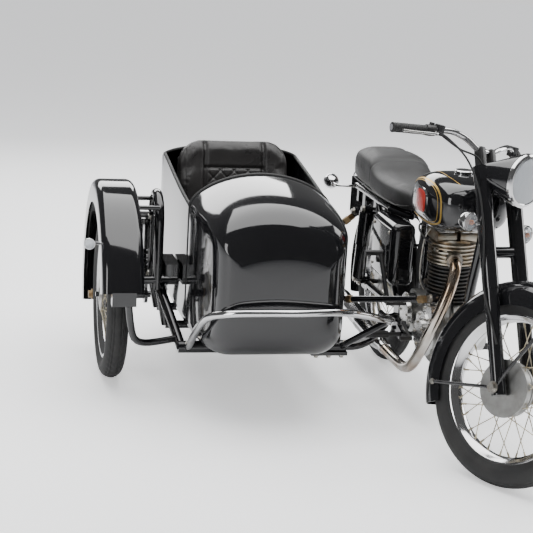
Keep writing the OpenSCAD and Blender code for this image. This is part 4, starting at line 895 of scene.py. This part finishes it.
for n, s in (("left", 1), ("right", -1)):
    sides = sorted((s * 62, s * 156))
    case = rounded_block("side_box_" + n, (sides[0], -520, 442), (sides[1], -238, 686), 30, 7)
    settled(case, black_enamel, "chassis", ("side_boxes",) if s > 0 else ())
    lid_x = sorted((s * 151, s * 160))
    lid = rounded_block("side_box_lid_" + n, (lid_x[0], -496, 466), (lid_x[1], -262, 662), 4.4, 4)
    settled(lid, black_enamel, "chassis")
    bolted("side_box_screws_" + n, [((s * 160, y, z), (s, 0, 0)) for y in (-480, -278) for z in (482, 646)], 10, 4,
           "chassis", sides=16)
    knob = turned_shape("side_box_knob_" + n, [(0.3, s * 159), (14, s * 159), (15, s * 162), (13, s * 172),
                        (8, s * 174), (0.3, s * 174)], to_row @ Matrix.Translation((0, -380, 520)), 32)
    settled(knob, satin_black, "chassis")

# ---- rear suspension, lamps and plate ----
# Shrouded shock absorbers, a blank number plate under a round red lamp, and bullet indicators.
enamelled("rear_shocks", black_enamel)
red_lens = finish_named("red lens", (0.45, 0.006, 0.006), (0.3, 0.004, 0.004), (0.06, 0.12), patch=30, grain=400,
                        wear=0.3, relief=0.2, Coat_Weight=0.6)
amber_lens = finish_named("amber lens", (0.75, 0.2, 0.015), (0.6, 0.14, 0.01), (0.08, 0.16), patch=30, grain=400,
                          wear=0.3, relief=0.2, Coat_Weight=0.5)
clear_lens = finish_named("clear lens", (0.9, 0.92, 0.93), (0.8, 0.83, 0.85), (0.03, 0.08), patch=40, grain=60,
                          stretch=(1, 1, 8), wear=0.5, relief=0.4, Transmission_Weight=0.85, IOR=1.45)
plate_paint = finish_named("plate paint", (0.02, 0.02, 0.021), (0.05, 0.05, 0.05), (0.18, 0.35), patch=20, grain=200,
                           wear=0.5, relief=0.05)
enamelled("number_plate", plate_paint)
enamelled("tail_lamp", satin_black)


def facing_rear(x, y, z):
    """Turned shapes whose axis runs rearwards from the point."""
    return to_row @ Matrix.Translation((x, y, z)) @ Matrix.Rotation(math.radians(90), 4, "Z")


lamp_lens = turned_shape("tail_lens", [(0.3, 33.5), (20, 33.8), (30, 33), (37, 28), (40, 20), (40.5, 6), (42.4, 5.5),
                         (42.6, -0.5), (0.3, -0.5)], facing_rear(0, 341, 765), 64)
settled(lamp_lens, red_lens, "chassis")
bullet = [(0.3, 0.2), (9, 0.5), (16, 4), (24, 12), (30, 24), (33, 38), (33.6, 44), (33.4, 45), (31, 46), (28, 42),
          (18, 34), (0.3, 30)]
lens = [(0.3, 66), (10, 65), (20, 61), (27, 56), (30.5, 51), (30.5, 49), (0.3, 49)]
bulb_profile = [(0.3, 55), (5, 54), (8, 50), (8.5, 46), (7, 42.2), (0.3, 42.1)]
rear_indicator_x, rear_indicator_y, rear_indicator_z = 200, 240, 700.2
for n, s in (("left", 1), ("right", -1)):
    indicator_place = facing_rear(s * rear_indicator_x, rear_indicator_y, rear_indicator_z)
    shell = turned_shape("rear_indicator_shell_" + n, bullet, indicator_place, 48)
    settled(shell, chrome, "chassis", ("rear_indicators",) if s > 0 else ())
    glass = turned_shape("rear_indicator_lens_" + n, [(r, x - 8) for r, x in lens], indicator_place, 48)
    settled(glass, clear_lens, "chassis")
    bulb = turned_shape("rear_indicator_bulb_" + n, bulb_profile, indicator_place, 24)
    settled(bulb, amber_lens, "chassis")
    stalk = tube("rear_indicator_stalk_" + n, [(s * 117.8, 180, 700.2), (s * 170, 182, 700.2), (s * 196, 194, 700.2),
                                               (s * 200, 243, 700.2)], 6, 16, 5)
    settled(stalk, chrome, "chassis")
    bolted("rear_shock_nuts_" + n, [((s * 150, -25, 350), (s, 0, 0)), ((s * 150, -78, 655), (s, 0, 0)),
                                    ((s * 124, 0, 330), (s, 0, 0))], 22, 10, "chassis")

# ---- fork, headlamp, bars and controls ----
# The turning front end: black fork legs, a headlamp in a black casing, chromed bars, ribbed rubber grips,
# and cables that loop from the levers.
handlebar_route = [(-378, -852, 1036), (-300, -876, 1050), (-230, -898, 1064), (-160, -922, 1078),
                   (-100, -944, 1068), (-45, -954, 1046), (0, -956, 1042)]
bar = tube("handlebar_tube", handlebar_route + [(-x, y, z) for x, y, z in reversed(handlebar_route[:-1])], 11, 28, 6,
           steered)
settled(bar, chrome, "steering_head", ("handlebar",))
for s in (-1, 1):
    clamp = rounded_block("bar_clamp_" + ("left" if s > 0 else "right"), (s * 28 - 14, -42, 1098),
                          (s * 28 + 14, -6, 1170), 7, 4, turned)
    settled(clamp, satin_black, "steering_head")
for n, s in (("left", 1), ("right", -1)):
    route = [(s * -x, y, z) for x, y, z in ((-376, -852.6, 1036.3), (-355, -859, 1040.5), (-330, -866.8, 1045),
                                            (-300, -876, 1050), (-275, -884, 1054.5), (-256, -890, 1058))]
    line = catmull(route, 12)
    radii = [16.2 + 0.9 * math.sin(i * 1.9) if 2 < i < len(line) - 3 else (17.5 if i else 15) for i in range(len(line))]
    grip = tube("grip_" + n, line, radii, 32, 1, steered)
    settled(grip, black_rubber, "steering_head", ("grips",) if s > 0 else ())
    collar = tube("lever_collar_" + n, [(s * 253, -891, 1059), (s * 238, -896, 1062), (s * 222, -901, 1065)],
                  [19, 20.5, 19], 28, 4, steered)
    settled(collar, satin_black, "steering_head", ("hand_levers",) if s > 0 else ())
    boss = turned_shape("mirror_boss_" + n, [(0.3, 1076.5), (4.25, 1076.5), (4.25, 1089.5), (7.4, 1089.5),
                        (9.2, 1088), (9.2, 1070.5), (0.3, 1070.5)],
                        steered @ Matrix.Translation((s * 237, -896, 0)) @ Matrix.Rotation(math.radians(-90), 4, "Y"),
                        32)
    settled(boss, satin_black, "steering_head")
    lever = tube("hand_lever_" + n, [(s * 232, -906, 1060), (s * 236, -926, 1058), (s * 250, -938, 1055),
                                     (s * 300, -926, 1047), (s * 350, -908, 1039), (s * 372, -902, 1036)],
                 [7, 7, 5.5, 5, 5, 6.5], 16, 6, steered)
    settled(lever, polished_alloy, "steering_head")
    switch = rounded_block("switch_box_" + n, (s * 206 - 14, -922, 1052), (s * 206 + 14, -892, 1090), 5, 3, steered)
    settled(switch, satin_black, "steering_head")
brake_route = [(-221, -916, 1064), (-190, -950, 1050), (-150, -1020, 1000), (-128, -1090, 910), (-121, -1142, 808),
               (-120, -1178, 720), (-119, -1206, 640), (-117, -1240, 580), (-114, -1285, 520), (-107, -1327.5, 455)]
settled(tube("front_brake_cable", brake_route, 3.5, 12, 8, steered), black_rubber, "steering_head",
        ("brake_cable",))
settled(tube("clutch_cable", [(221, -916, 1064), (180, -952, 1048), (120, -990, 1020), (60, -1010, 985),
                              (30, -1018, 950)], 3.5, 12, 8, steered), black_rubber, "steering_head")
settled(tube("throttle_wire", [(-212, -918, 1060), (-160, -975, 1030), (-90, -1000, 1020), (-40, -1010, 985),
                               (-26, -1016, 950)], 3.5, 12, 8, steered), black_rubber, "steering_head")
lamp_glass = finish_named("lamp glass", (0.86, 0.89, 0.92), (0.7, 0.75, 0.8), (0.04, 0.09), patch=30, grain=60,
                          stretch=(6, 1, 1), wear=0.4, relief=0.3, Transmission_Weight=0.5, IOR=1.45)
lamp_matrix = (turned @ Matrix.Translation((0, -170, axle_up + 696)) @ Matrix.Rotation(math.radians(90 + 27), 4, "X")
               @ Matrix.Rotation(math.radians(-90), 4, "Y"))
lamp_rim = turned_shape("headlamp_rim", [(76, 8.3), (92, 8.3), (93.5, 12), (92, 20), (86, 26), (80, 27), (76, 24),
                        (76, 8.3)], lamp_matrix, 72)
settled(lamp_rim, chrome, "steering_head", ("headlamp",))
lamp_face = turned_shape("headlamp_glass", [(0.3, 38), (20, 37.4), (40, 35.4), (60, 31.5), (74, 27), (79, 24),
                         (79, 20), (0.3, 20)], lamp_matrix, 72)
settled(lamp_face, lamp_glass, "steering_head")
for n, s in (("left", 1), ("right", -1)):
    front_facing = steered @ Matrix.Translation((s * 156, -1069, 808)) @ Matrix.Rotation(math.radians(-90), 4, "Z")
    shell = turned_shape("front_indicator_shell_" + n, bullet, front_facing, 48)
    settled(shell, chrome, "steering_head", ("front_indicators",) if s > 0 else ())
    glass = turned_shape("front_indicator_lens_" + n, [(r, x - 8) for r, x in lens], front_facing, 48)
    settled(glass, clear_lens, "steering_head")
    bulb = turned_shape("front_indicator_bulb_" + n, bulb_profile, front_facing, 24)
    settled(bulb, amber_lens, "steering_head")
    arm = tube("front_indicator_arm_" + n, [(s * 113.3, -1120, 808), (s * 130, -1117, 808), (s * 150, -1100, 808),
                                            (s * 156, -1074, 808)], 6, 16, 5, steered)
    settled(arm, chrome, "steering_head")
bolted("fork_axle_nuts", [((118, -fork_offset, axle_up), (1, 0, 0)), ((-118, -fork_offset, axle_up), (-1, 0, 0))],
       26, 12, "steering_head", matrix=turned)
guard_centre = steer_foot @ Matrix.Rotation(-rake, 4, "X") @ Vector((0, -fork_offset, axle_up))
for n, s in (("left", 1), ("right", -1)):
    for m, angle in (("front", 200), ("rear", 75)):
        a = math.radians(angle)
        foot = guard_centre + Vector((s * 58, math.sin(a) * 300, -math.cos(a) * 300))
        stay = tube(f"mudguard_stay_{m}_{n}", [guard_centre + Vector((s * 104, 0, 0)),
                                              guard_centre + Vector((s * 100, math.sin(a) * 80, -math.cos(a) * 80)),
                                              foot], 6, 14, 5, steered)
        settled(stay, black_enamel, "steering_head")
        bolted(f"mudguard_stay_bolt_{m}_{n}", [(foot + Vector((s * 5, 0, 0)), (s, 0, 0))], 13, 6, "steering_head",
               matrix=steered)

# ---- sidecar body ----
# Pressed steel panels in gloss black over a tub: a rounded nose with a blunt front, straight sides that rise
# to the rear, and a short tapering tail. Rubber bead trims the opening and the joints.


def catmull_rows(rows, steps):
    """Smooth numbers between rows of numbers, one row for each station."""
    out = []
    for i in range(len(rows) - 1):
        a, b, c, d = (rows[max(i - 1, 0)], rows[i], rows[i + 1], rows[min(i + 2, len(rows) - 1)])
        for k in range(steps):
            t = k / steps
            out.append(tuple(0.5 * (2 * q + (r - p) * t + (2 * p - 5 * q + 4 * r - s) * t * t
                                    + (3 * q - p - 3 * r + s) * t ** 3) for p, q, r, s in zip(a, b, c, d)))
    return out + [rows[-1]]


body_x = -650
nose_stations = [(-400, 272, 226.3, 846, 124, 72), (-520, 268, 226.3, 842, 122, 76), (-640, 260, 232, 833, 118, 82),
                 (-730, 251, 244, 820, 112, 90), (-800, 240, 270, 797, 104, 96), (-846, 222, 310, 758, 90, 98),
                 (-872, 194, 362, 706, 70, 92), (-884, 160, 420, 648, 46, 70)]
tail_stations = [(262, 280, 228.3, 850, 44, 72), (360, 274, 234.3, 826, 44, 76), (450, 254, 262, 782, 44, 84),
                 (520, 222, 308, 712, 44, 90), (560, 182, 368, 630, 40, 80), (576, 140, 428, 556, 30, 50)]


def body_section(y, half, bottom, top, arch, corner, roof=28, side=8, bend=10, floor=14):
    """One ring of a body panel: an arched roof, straight sides, rounded lower corners and a flat floor."""
    ring = []
    for k in range(roof + 1):
        a = -math.pi / 2 + math.pi * k / roof
        ring.append((half * math.sin(a), top - arch + arch * max(math.cos(a), 0) ** 1.25))
    low, high = bottom + corner, top - arch
    ring += [(half, high + (low - high) * k / side) for k in range(1, side + 1)]
    ring += [(half - corner + corner * math.cos(a), low - corner * math.sin(a))
             for a in (math.pi / 2 * k / bend for k in range(1, bend + 1))]
    ring += [((half - corner) * (1 - 2 * k / floor), bottom) for k in range(1, floor + 1)]
    ring += [(-half + corner - corner * math.sin(a), low - corner * math.cos(a))
             for a in (math.pi / 2 * k / bend for k in range(1, bend + 1))]
    ring += [(-half, low + (high - low) * k / side) for k in range(1, side)]
    return [(body_x + x, y, z) for x, z in ring]


def shut_end(rings, inset):
    """Smaller and smaller rings inside the last one, so a blunt end closes with a soft dome."""
    last = rings[-1]
    mid = Vector([sum(p[i] for p in last) / len(last) for i in range(3)])
    forward = 1 if rings[-1][0][1] > rings[0][0][1] else -1
    out = []
    for share, bulge in ((0.94, 0.35), (0.84, 0.62), (0.68, 0.82), (0.48, 0.94), (0.25, 0.99), (0.06, 1.0)):
        out.append([tuple(mid + (Vector(p) - mid) * share + Vector((0, forward * inset * bulge, 0))) for p in last])
    return rings + out


def panel_shell(name, rings, wall, angle=60):
    """A sheet over the rings, thickened inwards."""
    count = len(rings[0])
    verts = [p for ring in rings for p in ring]
    faces = ring_faces(len(rings), count)
    tip = len(verts)
    last = rings[-1]
    verts.append(tuple(sum(p[i] for p in last) / count for i in range(3)))
    base = (len(rings) - 1) * count
    faces += [(base + k, base + (k + 1) % count, tip) for k in range(count)]
    obj = new_piece(name, verts, faces, angle=angle)
    work = bmesh.new()
    work.from_mesh(obj.data)
    bmesh.ops.recalc_face_normals(work, faces=work.faces)
    middle = to_row @ Vector((body_x, rings[0][0][1], 500))
    probe = max(work.faces, key=lambda f: (f.calc_center_median() - middle).dot(Vector((0, 0, 1))))
    if probe.normal.z < 0:
        bmesh.ops.reverse_faces(work, faces=work.faces)
    work.to_mesh(obj.data)
    work.free()
    thick = obj.modifiers.new("wall", "SOLIDIFY")
    thick.thickness, thick.offset = wall * 0.001, -1
    plain_piece(obj, angle)
    return obj


def plain_piece(obj, angle):
    if obj.name not in bpy.context.scene.collection.objects:
        bpy.context.scene.collection.objects.link(obj)
    bpy.context.view_layer.update()
    plain_copy(obj)
    smooth_shaded(obj.data, angle)


nose_rings = shut_end([body_section(*row) for row in catmull_rows(nose_stations, 6)], 4)
nose = panel_shell("sidecar_nose_panel", nose_rings, 4)
settled(nose, black_enamel, "chassis", ("sidecar_nose",))
tail_rings = shut_end([body_section(*row) for row in catmull_rows(tail_stations, 6)], 4)
tail = panel_shell("sidecar_tail_panel", tail_rings, 4)
settled(tail, black_enamel, "chassis", ("sidecar_tail",))

tub_stations = [(-399.7, 272, 722), (-250, 278, 741), (-60, 280, 766), (110, 280, 788), (261.7, 280, 806)]
tub_floor, tub_corner = 226.3, 72


def tub_line(y, half, rim, side=10, bend=10, floor=14):
    line = [(half, rim + (tub_floor + tub_corner - rim) * k / side) for k in range(side + 1)]
    line += [(half - tub_corner + tub_corner * math.cos(a), tub_floor + tub_corner - tub_corner * math.sin(a))
             for a in (math.pi / 2 * k / bend for k in range(1, bend + 1))]
    line += [((half - tub_corner) * (1 - k / floor), tub_floor) for k in range(1, floor + 1)]
    line += [(-x, z) for x, z in reversed(line[:-1])]
    return [(body_x + x, y, z) for x, z in line]


tub_rows = [tub_line(*row) for row in catmull_rows(tub_stations, 6)]
tub_verts = [p for row in tub_rows for p in row]
tub = new_piece("sidecar_tub_panel", tub_verts, ring_faces(len(tub_rows), len(tub_rows[0]), closed=False), angle=40)
if sum(f.normal.x for f in tub.data.polygons if f.center.x > (body_x + 508) * 0.001 + 0.2) < 0:
    tub.data.flip_normals()
tub_wall = tub.modifiers.new("wall", "SOLIDIFY")
tub_wall.thickness, tub_wall.offset = 0.006, -1
plain_piece(tub, 40)
settled(tub, black_enamel, "chassis", ("sidecar_tub",))

# ---- body trim ----
# Black rubber bead along the rims and the scuttle's edge, pushed over the panels' raw edges, and strips of
# the same rubber over the upright joints between the nose and the tub.
for n, s in (("left", 1), ("right", -1)):
    rim = tube("rim_bead_" + n, [(body_x + s * (h - 3), y, z + 3) for y, h, z in tub_stations], 7, 16, 8)
    settled(rim, black_rubber, "chassis")
    joint = tube("joint_strip_" + n, [(body_x + s * 272.6, -400, 722), (body_x + s * 272.6, -400, 500),
                                      (body_x + s * 272.6, -400, 305)], 2.4, 8, 4)
    settled(joint, black_rubber, "chassis")
edge = []
for k in range(0, 33):
    a = -math.pi / 2 + math.pi * k / 32
    edge.append((body_x + 270 * math.sin(a), -398, 722 + 124 * max(math.cos(a), 0) ** 1.25))
settled(tube("scuttle_bead", edge, 7, 16, 2), black_rubber, "chassis")
edge = []
for k in range(0, 33):
    a = -math.pi / 2 + math.pi * k / 32
    edge.append((body_x + 278 * math.sin(a), 262, 806 + 44 * max(math.cos(a), 0) ** 1.25))
settled(tube("tail_bead", edge, 6, 16, 2), black_rubber, "chassis")

# ---- sidecar seat ----
# A sprung bench and a tall back in black leather: diamond quilting in the middle of the back, a plain
# headroll above it, and thick side bolsters. Foam fills the covers, which are welted at the edges.
black_leather = hide_named("black leather", (0.014, 0.013, 0.013), (0.04, 0.038, 0.037), (0.2, 0.38), grain=380,
                           crease=11, depth=0.35)
seat_cloth = hide_named("seat base covering", (0.012, 0.012, 0.012), (0.03, 0.03, 0.03), (0.55, 0.7), grain=700,
                        crease=10)
base_parts = []
for low, high, r in (((-854, -110, 235), (-446, 129, 392), 6), ((-854, 130.5, 235), (-446, 239, 265), 6),
                     ((-874, 236, 265), (-426, 261, 799), 8)):
    base_parts.append(rounded_block("seat_base", low, high, r, 3))
for part in base_parts[1:]:
    work = bmesh.new()
    work.from_mesh(base_parts[0].data)
    work.from_mesh(part.data)
    work.to_mesh(base_parts[0].data)
    work.free()
smooth_shaded(base_parts[0].data, 30)
base_parts[0].name = "seat_base_boards"
settled(base_parts[0], seat_cloth, "chassis", ("sidecar_seat_base",))
cushion_stations = [(-136, 190, 430, 492), (-118, 226, 400, 516), (0, 232, 397, 518), (98, 230, 397, 505),
                    (122, 212, 418, 484)]
cushion = lofted("seat_cushion", [rounded_section(body_x, h, y, a, b, 0.4)
                                  for y, h, a, b in catmull_rows(cushion_stations, 6)])
stuffed(cushion, 0.006, 0.007)
smoothed_once(cushion, 0.5, 3)


def diamond(u, v, size):
    """Depth share of a diamond quilt: one at the stitched lines, with deep points where they cross."""
    a, b = (u + v) / size, (u - v) / size
    near = min(abs(a - round(a)), abs(b - round(b))) * size / 1.414
    button = math.hypot(a - round(a), b - round(b)) * size / 1.414
    return math.exp(-(near / 3.2) ** 2), math.exp(-(button / 6.0) ** 2)


def cushion_quilt(p, n):
    x, y = p.x - body_x, p.y
    welt = 2.0 * math.exp(-((p.z - 440) / 5.0) ** 2) if abs(n.z) < 0.7 else 0
    if n.z < 0.6 or abs(x) > 196 or y < -112 or y > 100:
        return welt
    line, button = diamond(x, y + 4, 52)
    frame_line = math.exp(-((abs(x) - 190) / 4.0) ** 2) + math.exp(-((y + 106) / 4.0) ** 2)
    return 4.0 * line + 3.0 * button + 2.5 * min(frame_line, 1)


sewn(cushion, cushion_quilt)
settled(cushion, black_leather, "chassis", ("sidecar_cushion",))


def back_profile(x):
    """Side view of the back: thicker towards its sides, where the bolsters are."""
    side = max(0, (abs(x) - 118) / 100)
    bulge = 26 * min(1, side) ** 1.2
    return [(150 - bulge * 0.2, 536), (196, 534), (228, 600), (229, 852), (217, 880), (196, 884),
            (178 - bulge * 0.4, 864), (170 - bulge * 0.5, 800), (158 - bulge, 740), (146 - bulge, 660),
            (138 - bulge * 0.9, 600), (136 - bulge * 0.4, 564)]


back_rows = []
for x, share in ((-230, 0.8), (-225, 0.92), (-212, 0.99), (-185, 1), (-150, 1), (-126, 1), (-116, 1), (-80, 1),
                 (-40, 1), (0, 1), (40, 1), (80, 1), (116, 1), (126, 1), (150, 1), (185, 1), (212, 0.99),
                 (225, 0.92), (230, 0.8)):
    profile = back_profile(x)
    cy = sum(q[0] for q in profile) / len(profile)
    cz = sum(q[1] for q in profile) / len(profile)
    slope = 40 * max(0, (abs(x) - 140) / 78) ** 2
    points = [(body_x + x, cy + (y - cy) * share, cz + (z - cz) * (share + 1) / 2 - slope * max(0, (z - 640) / 240))
              for y, z in profile]
    closed = points + points[:1]
    ring = []
    for i in range(len(points)):
        a, b, c, d = points[i - 1], points[i], points[(i + 1) % len(points)], points[(i + 2) % len(points)]
        for k in range(4):
            t = k / 4
            ring.append(tuple(0.5 * (2 * q + (r - p) * t + (2 * p - 5 * q + 4 * r - s) * t * t
                                     + (3 * q - p - 3 * r + s) * t ** 3) for p, q, r, s in zip(a, b, c, d)))
    back_rows.append(ring)
backrest = lofted("seat_back", back_rows)
stuffed(backrest, 0.006, 0.008)
smoothed_once(backrest, 0.5, 3)


def back_quilt(p, n):
    x = p.x - body_x
    if n.y > -0.35:
        return 0
    line, button = diamond(x, p.z - 760, 58)
    inside = abs(x) < 108 and 575 < p.z < 768
    depth = 0
    if inside:
        depth += 3.4 * line + 3.0 * button
    depth += 11 * math.exp(-((abs(x) - 122) / 9.0) ** 2) * (1 if p.z > 560 else 0)
    depth += 7.0 * math.exp(-((p.z - 772) / 6.5) ** 2) * (1 if abs(x) < 124 else 0)
    depth += 1.6 * math.exp(-((abs(x) - 204) / 4.0) ** 2)
    return depth


sewn(backrest, back_quilt)
settled(backrest, black_leather, "chassis", ("sidecar_backrest",))

# ---- bumper and struts ----
# A chromed guard tube round the nose, bolted flat at its outer end, and black struts with threaded eyes
# that tie the body's chassis to the motorcycle frame.
bumper_route = [(-922, -512, 204), (-928, -600, 246), (-930, -740, 340), (-908, -850, 418), (-838, -918, 450),
                (-734, -946, 460), (-600, -946, 460), (-450, -908, 452), (-340, -856, 426), (-258, -804, 398),
                (-216, -764, 382), (-208, -716, 362)]
return_route = [(-208, -716, 362), (-232, -660, 326), (-290, -590, 262), (-326, -512, 206)]
full_line = catmull(bumper_route + return_route[1:], 8)
cut = min(range(len(full_line)), key=lambda i: (Vector(full_line[i]) - Vector(bumper_route[-1])).length)
guard_line, return_line = full_line[:cut + 1], full_line[cut - 1:]
radii = [13.6] * len(guard_line)
radii[:3] = [9.5, 11.5, 13]
guard_tube = tube("bumper_chrome", guard_line, radii, 28, 1)
settled(guard_tube, chrome, "chassis", ("bumper",))
return_bar = tube("bumper_return", return_line, 12.6, 24, 1)
settled(return_bar, black_enamel, "chassis")
bolted("bumper_bolts", [((-922, -526, 224), (0, -0.6, 0.8)), ((-212, -738, 374), (0.5, -0.7, 0.5)),
                        ((-316, -536, 228), (0, -0.7, 0.7))], 15, 8, "chassis")
enamelled("mudguard_stay", black_enamel)
enamelled("sidecar_struts", black_enamel)
brass_zinc = finish_named("yellow zinc", (0.3, 0.22, 0.12), (0.14, 0.07, 0.035), (0.3, 0.55), patch=60, grain=500,
                          wear=0.6, relief=0.15, Metallic=1.0)
front_foot, front_eye = Vector((-341, -508, 392)), Vector((-94, -854, 486))
rear_foot, rear_eye = Vector((-335, 60, 456)), Vector((-140, 60, 608))
sleeve_low, sleeve_high = 12.6, 15.8
for n, a, b in (("front", front_foot, front_eye), ("rear", rear_foot, rear_eye)):
    along = (b - a).normalized()
    for m, start in (("upper", b - along * 66), ("lower", a + along * 30)):
        sleeve = tube(f"strut_sleeve_{n}_{m}", [tuple(start + along * t) for t in (0, 4, 12, 20, 26, 30)],
                      [sleeve_low] + [sleeve_high] * 4 + [sleeve_low], 6, 1)
        settled(sleeve, brass_zinc, "chassis")
    line = [b - along * 36 + along * (i * 0.9) for i in range(22)]
    worm = tube(f"strut_thread_{n}", [tuple(p) for p in line],
                [12.9 + (0.9 if i % 2 else 0) for i in range(len(line))], 24, 1)
    settled(worm, brass_zinc, "chassis")
bolted("strut_pins", [((-106, -862, 490), (-1, 0, 0)), ((-152, 60, 615), (-1, 0, 0)),
                      ((-341, -508, 412), (0, -0.3, 1)), ((-335, 60, 470), (0, 0.2, 1))], 22, 12, "chassis")
bolted("arm_plate_bolts", [((x, -512, 170), (0, 0, -1)) for x in (-424, -374, -324)], 16, 9, "chassis")
bolted("rail_end_caps", [((-922, -500, 197), (0, -0.2, 1)), ((-326, -500, 197), (0, -0.2, 1))], 17, 8, "chassis")

# ---- sidecar suspension and lamp ----
# A shock absorber with a black spring under a chromed shroud, between the wheel's swinging arm and the hoop,
# and a small chromed marker lamp on the mudguard.
shock_at = (-1066, -196)
upright = to_row @ Matrix.Translation((shock_at[0], shock_at[1], 0)) @ Matrix.Rotation(math.radians(-90), 4, "Y")
shroud = turned_shape("shock_shroud", [(0.3, 638), (14, 638), (24, 634), (27.6, 626), (28, 600), (28, 540),
                      (28.6, 520), (28.6, 514), (26, 513), (26, 520), (0.3, 522)], upright, 48)
settled(shroud, chrome, "chassis", ("sidecar_shock",))
lower = turned_shape("shock_lower", [(0.3, 524), (17, 524), (17, 440), (19, 436), (24.6, 434), (25, 424), (22, 416),
                     (10, 413), (0.3, 413)], upright, 40)
settled(lower, satin_black, "chassis")
coil = []
for i in range(0, 24 * 4 + 1):
    a = 2 * math.pi * i / 24
    coil.append((shock_at[0] + 21.2 * math.cos(a), shock_at[1] + 21.2 * math.sin(a), 438 + 76 * i / 96))
settled(tube("shock_spring", coil, 3.6, 10, 1), satin_black, "chassis")
for n, z in (("low", 411), ("top", 634)):
    eye = turned_shape("shock_eye_" + n, [(8.4, -16), (15, -16), (16, -14), (16, 14), (15, 16), (8.4, 16),
                       (8.4, -16)], to_row @ Matrix.Translation((shock_at[0], shock_at[1], z)), 32)
    settled(eye, satin_black, "chassis")
bolted("shock_nuts", [((-1048, -196, 411), (1, 0, 0)), ((-1048, -196, 634), (1, 0, 0))], 22, 11, "chassis")
bolted("wheel_nuts", [((-1256, -196, 325), (-1, 0, 0)), ((-1112, -196, 325), (1, 0, 0))], 27, 14, "chassis",
       material=brass_zinc)
marker = to_row @ Matrix.Translation((-1300, -505, 600)) @ Matrix.Rotation(math.radians(-90), 4, "Z")
marker_shell = turned_shape("marker_lamp_shell", [(0.3, -21), (7, -20.5), (13, -17), (18, -9), (20.4, 2), (21, 12),
                            (20.5, 14), (18, 14), (0.3, 14)], marker, 40)
settled(marker_shell, chrome, "chassis", ("sidecar_lamp",))
marker_glass = turned_shape("marker_lamp_glass", [(0.3, 21.5), (8, 20.8), (14, 18.4), (18.6, 14.6), (18.6, 12),
                            (0.3, 12)], marker, 40)
settled(marker_glass, lamp_glass, "chassis")
settled(tube("marker_lamp_stalk", [(-1259.6, -490, 596), (-1270, -492, 597), (-1284, -497, 599),
                                   (-1292, -502, 600)], 6, 16, 4), chrome, "chassis")
tail_marker = turned_shape("marker_lamp_rear", [(0.3, -21.6), (6, -22.6), (9, -21.6), (9, -19), (0.3, -19)], marker,
                           24)
settled(tail_marker, red_lens, "chassis")
